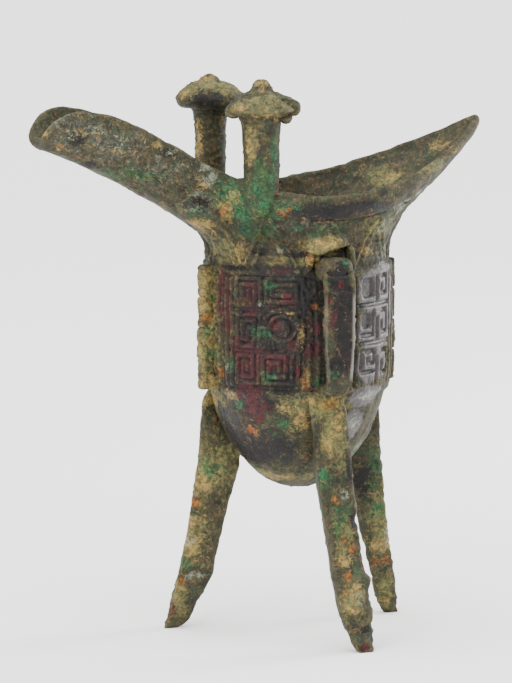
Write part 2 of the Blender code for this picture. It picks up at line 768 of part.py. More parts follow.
def clean(thing):
    """Flat faces and triangles only, smooth shading with sharp edges kept."""
    bm = bmesh.new()
    bm.from_mesh(thing.data)
    bmesh.ops.remove_doubles(bm, verts=bm.verts, dist=0.00001)
    bmesh.ops.dissolve_degenerate(bm, edges=bm.edges, dist=0.00001)
    bmesh.ops.triangulate(bm, faces=bm.faces)
    bm.to_mesh(thing.data)
    bm.free()
    thing.data.shade_smooth()
    thing.data.set_sharp_from_angle(angle=math.radians(32.0))


def build():
    """The whole casting."""
    for thing in list(bpy.data.objects):
        bpy.data.objects.remove(thing)
    cup = cup_shell()
    front = (BODY_RADIUS + FRONT_FOOT_SPLAY, FRONT_LEG_WIDTH, FRONT_LEG_DEPTH, FRONT_FOOT_TAPER)
    spout = (BODY_RADIUS + SPOUT_FOOT_SPLAY, SPOUT_LEG_WIDTH, SPOUT_LEG_DEPTH, SPOUT_FOOT_TAPER)
    tail = (BODY_RADIUS + TAIL_FOOT_SPLAY, TAIL_LEG_WIDTH, TAIL_LEG_DEPTH, TAIL_FOOT_TAPER)
    legs = [
        leg("front_leg", FRONT_LEG_BEARINGS, *front),
        leg("spout_leg", SPOUT_LEG_BEARINGS, *spout),
        leg("tail_leg", TAIL_LEG_BEARINGS, *tail),
    ]
    posts = [
        post("near_post", -1, NEAR_POST_HEIGHT, NEAR_POST_DIAMETER, NEAR_KNOB_HEIGHT, True),
        post("far_post", 1, FAR_POST_HEIGHT, FAR_POST_DIAMETER, FAR_KNOB_HEIGHT, False),
    ]
    flanges = [flange("flange", bearing) for bearing in (-math.pi / 2, math.pi / 2, math.pi)]
    fuse(cup, [join(masks()), *borders(), *flanges])
    fuse(cup, [*legs, *posts, cap_lump(), handle(), muzzle(), brow()])
    set_on_ground(cup)
    clean(cup)
    cup.data.materials.clear()
    cup.data.materials.append(bronze())


build()
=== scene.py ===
# %% [markdown]
# # A bronze tripod wine cup
# The real cup was cast in one pour, in a clay mould of several pieces round a clay core, more than
# three thousand years ago. Wine was warmed in it over embers and poured from the long spout.
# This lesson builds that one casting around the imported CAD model, which stays as the fixed frame.

# %% Load the fixed frame
import math

import bmesh
import bpy
import numpy as np
from mathutils import Matrix, Vector, noise
from mathutils.bvhtree import BVHTree


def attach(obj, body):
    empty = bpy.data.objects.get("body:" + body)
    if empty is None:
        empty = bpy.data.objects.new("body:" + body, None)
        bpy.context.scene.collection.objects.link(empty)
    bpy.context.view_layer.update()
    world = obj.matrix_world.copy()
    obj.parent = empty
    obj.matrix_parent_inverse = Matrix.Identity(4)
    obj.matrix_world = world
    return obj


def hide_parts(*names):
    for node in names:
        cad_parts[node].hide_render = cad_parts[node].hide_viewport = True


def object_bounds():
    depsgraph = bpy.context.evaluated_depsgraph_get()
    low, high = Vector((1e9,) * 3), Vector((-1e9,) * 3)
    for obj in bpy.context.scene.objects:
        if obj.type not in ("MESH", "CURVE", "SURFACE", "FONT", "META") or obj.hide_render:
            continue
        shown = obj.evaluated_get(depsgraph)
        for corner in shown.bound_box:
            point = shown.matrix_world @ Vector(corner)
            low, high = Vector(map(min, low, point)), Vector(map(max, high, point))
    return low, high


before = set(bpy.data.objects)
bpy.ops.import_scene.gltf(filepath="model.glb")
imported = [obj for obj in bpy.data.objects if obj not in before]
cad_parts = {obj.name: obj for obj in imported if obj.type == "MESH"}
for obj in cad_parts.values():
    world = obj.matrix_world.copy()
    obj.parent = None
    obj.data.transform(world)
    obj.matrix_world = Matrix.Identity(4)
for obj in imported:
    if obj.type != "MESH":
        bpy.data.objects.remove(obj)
CAD_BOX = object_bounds()
print("CAD box in mm:", [round(v * 1000, 2) for corner in CAD_BOX for v in corner])

# %% [markdown]
# ## Sizes
# All sizes are the casting's own, in millimetres, counted from the cup's upright axis and from the
# ground. One function moves points from there to the frame, in metres, at the very end of each step.

# %% Sizes of the casting
MILLIMETRE = 0.001
AXIS_PLACE = np.array((13.654, 5.185, 0.0))
BODY_RADIUS = 32.4
WALL = 2.4
GROUND_CLEARANCE = 52.0
BELLY_RISE = 50.0
BELLY_ROUNDNESS = 0.55
BAND_BOTTOM = 89.0
BAND_TOP = 133.0
NECK_TOP = 138.0
MOUTH_RADIUS = 35.0
RIM_LOW = 159.3
TAIL_REACH = 73.5
TAIL_RISE = 24.4
TAIL_TIP_ROUNDING = math.radians(2.5)
SPOUT_REACH = 98.2
SPOUT_CREST_RISE = 29.8
SPOUT_LIP_LENGTH = 13.5
SPOUT_LIP_DROP = 12.2
SPOUT_ROOT_WIDTH = 34.0
SPOUT_TIP_WIDTH = 28.0
SPOUT_DEPTH = 21.0
SPOUT_ROOT_SLOPE = 0.68
SPOUT_ROOT_RISE = 4.4
SPOUT_BOTTOM_SQUARENESS = 3.2
SPOUT_ROOT_FILLET = 4.0
SPOUT_SPREAD = math.radians(50.0)
SPOUT_FADE = math.radians(15.0)
ROOT_DEPTH = 1.2


def to_frame(points):
    """Points of the cup in millimetres, moved into the frame in metres."""
    return (np.asarray(points, float) + AXIS_PLACE) * MILLIMETRE


def smooth(value, low, high):
    """Soft step from 0 at low to 1 at high."""
    share = np.clip((np.asarray(value, float) - low) / (high - low), 0.0, 1.0)
    return share * share * (3.0 - 2.0 * share)


def between(value, start, full, fading, gone):
    """Soft plateau: 0 up to start, 1 from full to fading, and 0 again from gone."""
    return smooth(value, start, full) * (1.0 - smooth(value, fading, gone))


def place_at(bearing, radius, height):
    """Point at a bearing in degrees, counted from the handle's side towards the tail."""
    turn = math.radians(bearing)
    return np.array((radius * math.sin(turn), -radius * math.cos(turn), height))


# %% [markdown]
# ## The wall as a rule
# The cup's outer face follows a few rules: an egg for the bottom, a drum for the band, a cubic flare
# for the mouth, and a deep channel with a square bottom for the spout. Modelling the wall by hand
# would lose those rules, so functions give every point, and the inner face is the outer one moved in
# by the wall's thickness.

# %% Body and rim
def body_radius(height):
    """Outer radius of the bottom, the band and the neck at a height above the ground."""
    rise = np.clip((np.asarray(height, float) - GROUND_CLEARANCE) / BELLY_RISE, 0.0, 1.0)
    return BODY_RADIUS * (1.0 - (1.0 - rise) ** 2) ** BELLY_ROUNDNESS


def rim_height(x):
    """Height of the rim: it climbs to the tail and, further, along the spout to its lip."""
    x = np.asarray(x, float)
    tail = TAIL_RISE * (np.clip(x, 0.0, None) / TAIL_REACH) ** 1.9
    crest = SPOUT_REACH - SPOUT_LIP_LENGTH
    along = (np.clip(-x, 0.0, crest) / crest) ** 1.25
    spout = SPOUT_CREST_RISE * along * along * (3.0 - 2.0 * along)
    past = np.clip((-x - crest) / SPOUT_LIP_LENGTH, 0.0, None)
    drop = SPOUT_LIP_DROP * (1.0 - np.sqrt(1.0 - np.minimum(past, 1.0) ** 2))
    return RIM_LOW + tail + spout - drop - SPOUT_DEPTH * np.clip(past - 1.0, 0.0, None)


def mouth_reach(angle):
    """Distance from the axis to the rim, seen from above, without the spout. Angle 0 is the tail."""
    turn = math.hypot(angle, TAIL_TIP_ROUNDING)
    if turn >= math.pi / 2:
        return MOUTH_RADIUS
    x = np.linspace(0.0, TAIL_REACH, 400)
    half_width = MOUTH_RADIUS * (1.0 - (x / TAIL_REACH) ** 2.1) ** 0.93
    return float(np.interp(turn, np.arctan2(half_width, x)[::-1], np.hypot(x, half_width)[::-1]))


def flare(angle):
    """Meridian of the mouth from the neck to the rim, as radii and heights of a cubic curve."""
    reach = mouth_reach(angle)
    x = reach * math.cos(angle) if abs(angle) <= math.pi / 2 else MOUTH_RADIUS * math.cos(angle)
    top = float(rim_height(x))
    rise = top - NECK_TOP
    swell = reach - BODY_RADIUS
    corners = (
        (BODY_RADIUS, NECK_TOP),
        (BODY_RADIUS, NECK_TOP + 0.385 * rise),
        (reach - 0.17 * swell, top - 0.33 * rise),
        (reach, top),
    )
    u = np.linspace(0.0, 1.0, 160)
    weights = ((1 - u) ** 3, 3 * u * (1 - u) ** 2, 3 * u * u * (1 - u), u ** 3)
    radii = sum(weight * corner[0] for weight, corner in zip(weights, corners))
    heights = sum(weight * corner[1] for weight, corner in zip(weights, corners))
    return radii, heights


# %% Spout channel
def spout_floor(x, y):
    """Height of the outer face of the spout's channel over a point of the plan."""
    length = SPOUT_REACH - BODY_RADIUS
    tip = float(rim_height(-SPOUT_REACH))
    start = NECK_TOP + SPOUT_ROOT_RISE
    bend = (tip - start - SPOUT_ROOT_SLOPE * length) / length ** 2
    out = -x - BODY_RADIUS
    keel = start + SPOUT_ROOT_SLOPE * out + bend * out * out
    share = np.clip(out / length, 0.0, 1.0)
    half_width = (SPOUT_ROOT_WIDTH + (SPOUT_TIP_WIDTH - SPOUT_ROOT_WIDTH) * share) / 2
    return keel + SPOUT_DEPTH * (np.abs(y) / half_width) ** SPOUT_BOTTOM_SQUARENESS


def mouth_meridian(angle):
    """Outer line from the neck's top to the rim in the half plane at an angle, spout included."""
    radii, heights = flare(angle)
    off_spout = math.pi - abs(angle)
    if off_spout > SPOUT_SPREAD:
        return radii, heights
    level = np.linspace(NECK_TOP, RIM_LOW + SPOUT_CREST_RISE, 1500)
    cup = np.interp(level, heights, radii)
    ray = np.linspace(0.5 * BODY_RADIUS, 1.2 * SPOUT_REACH, 900)
    channel = np.interp(level, spout_floor(-ray * math.cos(off_spout), ray * math.sin(off_spout)), ray)
    apart = cup - channel
    outer = (cup + channel + np.sqrt(apart * apart + SPOUT_ROOT_FILLET ** 2)) / 2
    fade = np.clip((SPOUT_SPREAD - off_spout) / SPOUT_FADE, 0.0, 1.0)
    risen = np.clip((level - NECK_TOP) / SPOUT_ROOT_RISE, 0.0, 1.0)
    outer = cup + (outer - cup) * smooth(fade * risen, 0.0, 1.0)
    over = level - rim_height(-outer * math.cos(off_spout))
    last = int(np.argmax(over > 0.0))
    share = over[last - 1] / (over[last - 1] - over[last])
    rim_radius = outer[last - 1] + share * (outer[last] - outer[last - 1])
    rim_level = level[last - 1] + share * (level[last] - level[last - 1])
    return np.append(outer[:last], rim_radius), np.append(level[:last], rim_level)


# %% [markdown]
# ## A table of the mouth
# The mouth's rule is slow to solve at a hundred thousand points. It is solved once on a net of
# angles and shares of the way up, with its outward directions, and everything else reads that net.

# %% Solve the mouth on a net
SHARES = np.linspace(0.0, 1.0, 73)


def mouth_net():
    """Angles, points, outward directions and meridian lengths of the mouth's outer face."""
    half = np.unique(np.concatenate((np.linspace(0.0, 2.5, 110), np.linspace(2.5, math.pi, 260))))
    points = []
    lengths = []
    for angle in half:
        radii, heights = mouth_meridian(angle)
        way = np.concatenate(([0.0], np.cumsum(np.hypot(np.diff(radii), np.diff(heights)))))
        radius = np.interp(SHARES * way[-1], way, radii)
        height = np.interp(SHARES * way[-1], way, heights)
        points.append(np.stack((radius * math.cos(angle), radius * math.sin(angle), height), axis=1))
        lengths.append(way[-1])
    points = np.array(points)
    mirrored = points[::-1][:-1] * (1.0, -1.0, 1.0)
    angles = np.concatenate((-half[::-1][:-1], half))
    points = np.concatenate((mirrored, points))
    lengths = np.concatenate((lengths[::-1][:-1], lengths))
    padded = np.concatenate((points[-4:-1], points, points[1:4]))
    padded_angles = np.concatenate((angles[-4:-1] - 2 * math.pi, angles, angles[1:4] + 2 * math.pi))
    across = np.gradient(padded, padded_angles, axis=0)[3:-3]
    along = np.gradient(points, SHARES, axis=1)
    normals = np.cross(across, along)
    normals /= np.linalg.norm(normals, axis=2, keepdims=True)
    return angles, points, normals, lengths


NET_ANGLES, NET_POINTS, NET_NORMALS, NET_LENGTHS = mouth_net()
print("mouth net:", NET_POINTS.shape[:2], "longest meridian", round(float(NET_LENGTHS.max()), 1), "mm")


def on_mouth(angles, shares, depth=0.0):
    """Points of the mouth's wall at angles and shares of the way up, moved in by a depth."""
    angles = np.mod(np.asarray(angles, float) + math.pi, 2 * math.pi) - math.pi
    shares = np.clip(np.broadcast_to(shares, angles.shape), 0.0, 1.0)
    column = np.clip(np.searchsorted(NET_ANGLES, angles, side="right") - 1, 0, len(NET_ANGLES) - 2)
    span = NET_ANGLES[column + 1] - NET_ANGLES[column]
    right = ((angles - NET_ANGLES[column]) / span)[:, None]
    place = shares * (len(SHARES) - 1)
    row = np.clip(place.astype(int), 0, len(SHARES) - 2)
    up = (place - row)[:, None]
    mixed = []
    for net in (NET_POINTS, NET_NORMALS):
        low = net[column, row] * (1 - right) + net[column + 1, row] * right
        high = net[column, row + 1] * (1 - right) + net[column + 1, row + 1] * right
        mixed.append(low * (1 - up) + high * up)
    normals = mixed[1] / np.linalg.norm(mixed[1], axis=1, keepdims=True)
    return mixed[0] - np.reshape(depth, (-1, 1)) * normals


def on_body(angles, levels, depth=0.0):
    """Points of the bottom, band and neck at angles and levels, moved in by a depth."""
    levels = np.broadcast_to(np.asarray(levels, float), np.shape(angles))
    slope = (body_radius(levels + 0.05) - body_radius(levels - 0.05)) / 0.1
    slope = np.clip(slope, 0.0, 6.0)
    steep = np.sqrt(1.0 + slope ** 2)
    radius = np.maximum(body_radius(levels) - depth / steep, 0.0)
    height = levels + depth * slope / steep
    return np.stack((radius * np.cos(angles), radius * np.sin(angles), height), axis=1)


# %% [markdown]
# ## Ornament of the band
# The mould maker cut two masks into the clay, each mirrored about the handle or the back flange: a
# bulging eye under a curved brow, square spirals for horn and jaw, hooks towards the flanges, and a
# ground of fine square spirals. Raised metal could be separate ribbons joined to the wall, but in a
# casting it flows out of the wall, so the strokes are a height that is added to the surface itself.

# %% Strokes as heights
RELIEF = 1.15
LINE_SHARE = 0.75
STROKE = 1.3
EDGE = 0.3
GROUND_RELIEF = 0.42
GROUND_PITCH = 5.4
BORDER_WIDTH = 1.7
BAND_HEIGHT = BAND_TOP - BAND_BOTTOM


def distance_to_path(way, rise, path):
    """Distance on the unrolled wall from points to a line through several corners."""
    best = np.full(np.shape(way), 1e9)
    for (way_0, rise_0), (way_1, rise_1) in zip(path, path[1:]):
        run = way_1 - way_0
        climb = rise_1 - rise_0
        share = ((way - way_0) * run + (rise - rise_0) * climb) / (run * run + climb * climb)
        share = np.clip(share, 0.0, 1.0)
        best = np.minimum(best, np.hypot(way - way_0 - share * run, rise - rise_0 - share * climb))
    return best


def square_spiral(centre, width, height, turns, up):
    """Corners of a square spiral that winds inwards; up is 1 or -1 for its opening side."""
    pitch = 1.75 * STROKE
    left = centre[0] - width / 2
    right = centre[0] + width / 2
    low = centre[1] - height / 2
    high = centre[1] + height / 2
    points = [(left, low), (left, high)]
    for turn in range(turns):
        if turn % 4 == 0:
            points.append((right, high))
            high -= pitch
        elif turn % 4 == 1:
            points.append((right, low))
            right -= pitch
        elif turn % 4 == 2:
            left += pitch
            points.append((left, low))
            low += pitch
        else:
            points.append((left, high))
    return [(s, centre[1] + up * (h - centre[1])) for s, h in points]


BROW_RIDGE = (
    (24.0, 27.6), (21.6, 29.8), (17.6, 30.6), (13.6, 29.2), (11.2, 26.0), (10.8, 21.5), (11.8, 16.5),
    (12.6, 3.6),
)
BROW_SWELL = ((11.4, 26.0), (11.0, 22.0), (11.9, 17.0))
BROW_HALF = 0.8
SWELL_HALF = 1.5
EYE = (17.8, 24.0)
EYE_HALF = (4.9, 4.5)
MASK_PATHS = [
    square_spiral((17.0, 37.4), 13.4, 8.2, 7, 1),
    square_spiral((30.6, 36.6), 9.6, 9.6, 8, 1),
    square_spiral((30.6, 23.0), 9.0, 11.0, 8, 1),
    square_spiral((19.6, 9.4), 10.4, 9.6, 8, -1),
    square_spiral((30.8, 9.2), 8.8, 9.6, 8, -1),
    ((37.8, 3.6), (37.8, 40.4)),
    ((40.2, 3.6), (40.2, 40.4)),
    ((44.8, 3.6), (44.8, 40.4)),
    ((5.2, 4.0), (5.2, 24.0), (6.4, 40.0)),
    ((8.4, 4.0), (8.4, 18.0)),
]
GROOVE = 1.5
SUNK_PANELS = ((14.9, 37.2, 3.0, 3.4), (13.9, 25.6, 2.4, 2.6))
GROOVE_PATHS = [
    ((8.6, 31.2), (28.4, 31.2)),
    ((8.6, 17.6), (28.4, 17.6)),
    ((8.6, 3.2), (8.6, 41.2)),
    ((19.8, 3.2), (19.8, 12.0)),
    ((19.8, 18.0), (19.8, 26.0)),
    ((19.8, 31.8), (19.8, 40.8)),
    ((23.0, 40.8), (26.6, 40.8), (26.6, 34.6), (22.8, 34.6), (22.8, 37.6)),
    ((23.0, 28.6), (26.6, 28.6), (26.6, 21.0), (22.8, 21.0), (22.8, 24.6)),
    ((23.0, 14.4), (26.6, 14.4), (26.6, 6.6), (22.8, 6.6), (22.8, 10.4)),
    ((11.4, 20.6), (17.6, 20.6), (17.6, 28.4)),
    ((18.0, 7.4), (11.6, 7.4), (11.6, 14.8), (18.0, 14.8), (18.0, 10.4), (14.6, 10.4), (14.6, 11.8)),
    ((29.6, 3.2), (29.6, 41.2)),
    ((33.4, 3.2), (33.4, 41.2)),
]


# %% Fine ground and borders
def ground_spirals(way, rise):
    """Height of the fine ground: small square spirals side by side."""
    u = np.mod(way, GROUND_PITCH) / GROUND_PITCH
    v = np.mod(rise, GROUND_PITCH) / GROUND_PITCH
    small = ((0.14, 0.02), (0.14, 0.86), (0.86, 0.86), (0.86, 0.16), (0.40, 0.16), (0.40, 0.56), (0.62, 0.56))
    distance = distance_to_path(u, v, small) * GROUND_PITCH
    return GROUND_RELIEF * (1.0 - smooth(distance, 0.22, 0.62))


def worn_relief(way, rise):
    """Right side of the front mask, cleaned and worn: broad raised bands parted by sunk lines."""
    cut = np.full(np.shape(way), 1e9)
    for path in GROOVE_PATHS:
        cut = np.minimum(cut, distance_to_path(way, rise, path) - GROOVE / 2)
    for middle_way, middle_rise, half_way, half_rise in SUNK_PANELS:
        beyond_way = np.abs(way - middle_way) - half_way + 0.8
        beyond_rise = np.abs(rise - middle_rise) - half_rise + 0.8
        corner = np.hypot(np.maximum(beyond_way, 0.0), np.maximum(beyond_rise, 0.0))
        cut = np.minimum(cut, corner + np.minimum(np.maximum(beyond_way, beyond_rise), 0.0) - 0.8)
    return RELIEF * smooth(cut, -0.45, 0.45)


def band_relief(way, rise, worn):
    """Height of the mask over the drum, at a way along the wall and a rise above the band's foot.

    worn is 1 where the mask's lines were cleaned and worn broad, and 0 where they are whole.
    """
    way = np.abs(way)
    inner = np.full(np.shape(way), 1e9)
    for path in MASK_PATHS:
        inner = np.minimum(inner, distance_to_path(way, rise, path) - STROKE / 2)
    inner = np.minimum(inner, distance_to_path(way, rise, BROW_RIDGE) - BROW_HALF)
    inner = np.minimum(inner, distance_to_path(way, rise, BROW_SWELL) - SWELL_HALF)
    eye = np.hypot((way - EYE[0]) / EYE_HALF[0], (rise - EYE[1]) / EYE_HALF[1])
    ring = np.abs(eye - 1.0) * EYE_HALF[1] - 0.45
    pupil = (eye - 0.66) * EYE_HALF[1]
    raised = LINE_SHARE * RELIEF * (1.0 - smooth(inner, -EDGE, EDGE))
    raised = np.maximum(raised, LINE_SHARE * RELIEF * (1.0 - smooth(ring, -EDGE, EDGE)))
    bulge = np.sqrt(np.clip(1.0 - (eye / 0.66) ** 2, 0.0, 1.0))
    raised = np.maximum(raised, 1.4 * bulge)
    border = np.minimum(rise - BORDER_WIDTH, BAND_HEIGHT - BORDER_WIDTH - rise)
    raised = np.maximum(raised, 0.7 * RELIEF * (1.0 - smooth(border, -0.3, 0.3)))
    clear = smooth(np.minimum(np.minimum(inner, ring), np.minimum(pupil, border)), 0.5, 0.9)
    whole = np.maximum(raised, ground_spirals(way, rise) * clear)
    return whole + worn * (worn_relief(way, rise) - whole)


# %% [markdown]
# ## Leaf blades of the neck
# Above the band stand pointed leaves, each drawn with a double outline. They repeat ten times, so
# one leaf is written in its own width and height and the wall reads the leaf that is nearest.

# %% Leaves as heights
LEAF_COUNT = 10
LEAF_BEARING = -39.5
LEAF_BASE = 134.6
LEAF_TIP = 151.5
LEAF_RELIEF = 0.6


def leaf_relief(bearing, height):
    """Height of the raised lines of the leaf blades, at bearings in degrees and heights."""
    pitch = 360.0 / LEAF_COUNT
    off = np.abs(np.mod(bearing - LEAF_BEARING + pitch / 2, pitch) - pitch / 2)
    across = np.radians(off) * BODY_RADIUS
    rise = (height - LEAF_BASE) / (LEAF_TIP - LEAF_BASE)
    half = np.radians(pitch / 2) * BODY_RADIUS - 0.5
    edge = half * np.clip(1.0 - rise, 0.0, 1.0) ** 0.85
    inner_edge = (half - 3.4) * np.clip(1.0 - rise * 1.38, 0.0, 1.0) ** 0.85
    outline = np.minimum(np.abs(across - edge), np.abs(across - inner_edge) + 3.0 * (inner_edge <= 0.0))
    lines = 1.0 - smooth(outline, 0.45, 0.95)
    inside = smooth(edge - across, 1.2, 1.8) * smooth(rise, 0.0, 0.05)
    ribs = 0.55 * inside * (1.0 - smooth(np.abs(np.mod(height, 1.9) - 0.95), 0.25, 0.6))
    visible = between(rise, -0.02, 0.04, 1.0, 1.03)
    return LEAF_RELIEF * np.maximum(lines, ribs) * visible


def lines_left(bearing, height):
    """Share of the mask's relief that wear has left: uneven, and least above the handle's spout side."""
    uneven = 0.85 + 0.15 * np.sin(np.radians(9.0 * bearing + 50.0)) * np.sin(0.27 * height)
    local_weight = np.exp(-((bearing + 15.0) / 8.0) ** 2 - ((height - 125.0) / 7.5) ** 2)
    return uneven * (1.0 - 0.8 * local_weight)


def ornament(bearing, height):
    """Height of all the ornament at bearings in degrees and heights above the ground."""
    folded = np.where(np.abs(bearing) <= 90.0, np.abs(bearing), 180.0 - np.abs(bearing))
    worn = between(bearing, 4.0, 8.0, 84.0, 88.0)
    on_band = (height >= BAND_BOTTOM) & (height <= BAND_TOP)
    band = band_relief(np.radians(folded) * BODY_RADIUS, height - BAND_BOTTOM, worn)
    left = lines_left(bearing, height)
    return np.where(on_band, band * (left + worn * (1.0 - left)), leaf_relief(bearing, height))


# %% [markdown]
# ## The shell
# Rows of points run round the cup from the bottom's tip, up the outside, over the rounded lip and
# down the inside. The band needs a fine net for its ornament and the rest doesn't, so a row may meet
# one with half as many points, and the strip between them is filled with three triangles a step.

# %% Rows and strips
FINE = 0.45
FRONT_STEPS = 252
BACK_STEPS = 140


def strip(lower, upper):
    """Faces between two closed rows of point numbers; one may have half the points, or just one."""
    n = len(lower)
    m = len(upper)
    faces = []
    for i in range(min(n, m) if min(n, m) > 1 else max(n, m)):
        if n == m:
            faces.append((lower[i], lower[(i + 1) % n], upper[(i + 1) % n], upper[i]))
        elif m == 1:
            faces.append((lower[i], lower[(i + 1) % n], upper[0]))
        elif n == 1:
            faces.append((lower[0], upper[(i + 1) % m], upper[i]))
        elif n == 2 * m:
            a, b, c = lower[2 * i], lower[2 * i + 1], lower[(2 * i + 2) % n]
            d, e = upper[i], upper[(i + 1) % m]
            faces += [(a, b, d), (b, e, d), (b, c, e)]
        else:
            a, b = lower[i], lower[(i + 1) % n]
            c, d, e = upper[2 * i], upper[2 * i + 1], upper[(2 * i + 2) % m]
            faces += [(a, d, c), (a, b, d), (b, e, d)]
    return faces


def base_angles():
    """Angles of the fine upright lines, closest together on the front half."""
    reach = FRONT_STEPS * FINE / 2 / BODY_RADIUS
    front = np.linspace(-reach, reach, FRONT_STEPS + 1)[:-1]
    back = np.linspace(reach, 2 * math.pi - reach, BACK_STEPS + 1)[:-1]
    return np.concatenate((front, back)) - math.pi / 2


def rim_angles(angles):
    """The same lines where they meet the rim, evenly spaced along it."""
    rim = NET_POINTS[:, -1]
    steps = np.linalg.norm(np.diff(rim, axis=0), axis=1)
    way = np.concatenate(([0.0], np.cumsum(steps)))
    middle = len(NET_ANGLES) // 2
    past = (way - way[middle]) / (way[-1] - way[middle])
    length = np.where(np.arange(len(way)) <= middle, way / way[middle], 1 + past)
    wrapped = np.mod(angles + math.pi, 2 * math.pi) - math.pi
    order = np.argsort(wrapped)
    sorted_angles = wrapped[order]
    number = np.arange(len(angles), dtype=float)
    at_tail = np.interp(0.0, sorted_angles, number)
    start = (-math.pi - sorted_angles[0]) / (sorted_angles[0] + 2 * math.pi - sorted_angles[-1])
    end = start + len(angles)
    beyond = (number - at_tail) / (end - at_tail)
    share = np.where(number <= at_tail, (number - start) / (at_tail - start), 1 + beyond)
    result = np.empty(len(angles))
    result[order] = np.interp(share, length, NET_ANGLES)
    return result - wrapped


ANGLES = base_angles()
TO_RIM = rim_angles(ANGLES)
print("upright lines:", len(ANGLES))


def shifted(shares, step):
    """Angles of every step-th line at a share of the way up the mouth."""
    return (ANGLES + TO_RIM * smooth(shares, 0.0, 0.6))[::step]


# %% Build the shell's rows
def wear(angles, seed, size):
    """Slow random wander along the rim, about -1 to 1, that closes on itself."""
    places = [Vector((math.cos(a) * size, math.sin(a) * size, seed)) for a in angles]
    return np.array([noise.fractal(p, 0.8, 2.0, 3) for p in places])


def shell_rows():
    """All rows of points of the shell, from the outer tip of the bottom to the inner one."""
    rows = [np.array([(0.0, 0.0, GROUND_CLEARANCE)])]
    belly = GROUND_CLEARANCE + (BAND_BOTTOM - GROUND_CLEARANCE) * np.linspace(0.0, 1.0, 31)[1:-1] ** 1.55
    for number, level in enumerate(belly):
        step = 8 if number < 4 else 4 if number < 9 else 2
        rows.append(on_body(ANGLES[::step], level))
    band = np.linspace(BAND_BOTTOM, BAND_TOP, round(BAND_HEIGHT / FINE) + 1)
    bearing = np.degrees(np.mod(ANGLES + math.pi / 2 + math.pi, 2 * math.pi) - math.pi)
    for level in band:
        rows.append(on_body(ANGLES, level, -ornament(bearing, np.full(len(ANGLES), level))))
    for level in np.arange(BAND_TOP + 0.6, NECK_TOP, 0.6):
        rows.append(on_body(ANGLES, level, -ornament(bearing, np.full(len(ANGLES), level))))
    for share in np.linspace(0.0, 0.6, 26):
        angles = shifted(share, 1)
        flat = on_mouth(angles, share)
        turned = np.degrees(np.arctan2(flat[:, 0], -flat[:, 1]))
        near_wall = 1.0 - smooth(np.hypot(flat[:, 0], flat[:, 1]), 35.0, 38.0)
        rows.append(on_mouth(angles, share, -ornament(turned, flat[:, 2]) * near_wall))
    lip_angles = shifted(1.0, 2)
    length = np.interp(lip_angles, NET_ANGLES, NET_LENGTHS, period=2 * math.pi)
    chips = np.clip(0.55 * wear(lip_angles, 3.0, 9.0) + 0.35 * wear(lip_angles, 8.0, 24.0), 0.0, 1.0)
    lip = 1.0 - (WALL / 2 + 0.9 * chips) / length
    for share in np.linspace(0.6, 1.0, 17)[1:]:
        rows.append(on_mouth(shifted(share, 2), share * lip))
    for turn in np.radians((30.0, 60.0, 90.0, 120.0, 150.0)):
        depth = WALL * (1.0 - math.cos(turn)) / 2
        rows.append(on_mouth(lip_angles, lip + (WALL / 2) / length * math.sin(turn), depth))
    for share in np.linspace(1.0, 0.0, 33):
        rows.append(on_mouth(shifted(share, 2), share * lip, WALL))
    for level in np.linspace(NECK_TOP - 2.5, GROUND_CLEARANCE + 1.2, 26):
        rows.append(on_body(ANGLES[::2], level, WALL))
    rows.append(np.array([(0.0, 0.0, GROUND_CLEARANCE + 1.2 * WALL)]))
    return rows


# %% Rows to an object
def linked(name, data):
    """New object of the scene, at the origin."""
    made = bpy.data.objects.new(name, data)
    bpy.context.scene.collection.objects.link(made)
    return made


def all_skins(thing, slot_number):
    """Give a form every marker material and put its faces in one of them."""
    thing.data.materials.clear()
    for skin in SKINS:
        thing.data.materials.append(skin)
    thing.data.polygons.foreach_set("material_index", [slot_number] * len(thing.data.polygons))


def outward(thing):
    """Turn all faces of a closed form outwards."""
    bm = bmesh.new()
    bm.from_mesh(thing.data)
    bmesh.ops.recalc_face_normals(bm, faces=bm.faces)
    bm.to_mesh(thing.data)
    bm.free()


def closed(rows):
    """Rows of points with a middle point before the first and after the last."""
    return [rows[0].mean(axis=0, keepdims=True), *rows, rows[-1].mean(axis=0, keepdims=True)]


def object_from_rows(name, rows, slot_number):
    """Closed form through rows of points in millimetres, with its faces in one material slot."""
    starts = np.cumsum([0] + [len(row) for row in rows])
    numbers = [list(range(starts[i], starts[i + 1])) for i in range(len(rows))]
    faces = [face for low, high in zip(numbers, numbers[1:]) for face in strip(low, high)]
    mesh = bpy.data.meshes.new(name)
    mesh.from_pydata([tuple(p) for p in to_frame(np.vstack(rows))], [], faces)
    mesh.validate()
    made = linked(name, mesh)
    all_skins(made, slot_number)
    outward(made)
    return made


SLOT_COUNT = 5
SHELL, LEG, POST, GRIP, FLANGE = range(SLOT_COUNT)
SKINS = [bpy.data.materials.new(f"casting_part_{number}") for number in range(SLOT_COUNT)]
cup = object_from_rows("bronze_casting", shell_rows(), SHELL)
print("shell:", len(cup.data.polygons), "faces")

# %% [markdown]
# ## Legs
# Each leg is a blade: flat outside, tapering to a ridge inside, and splayed to a small foot. A
# subdivided box would need many edits, so the leg is lofted through sections whose width and depth
# follow the height, as the CAD part's legs do, with rounded corners and a much finer net.

# %% Loft the three legs
LEG_TOP = BAND_BOTTOM - 0.6
LEG_PROUD = 1.1
FOOT_WIDTH = 5.0
FOOT_DEPTH = 4.4
LEG_ROOT_SWELL = 3.0


def rounded(corners, rounds):
    """A closed line with its corners cut again and again, so that it becomes round."""
    line = np.array(corners, float)
    for _ in range(rounds):
        after = np.roll(line, -1, axis=0)
        line = np.stack((0.78 * line + 0.22 * after, 0.22 * line + 0.78 * after), axis=1).reshape(-1, 2)
    return line


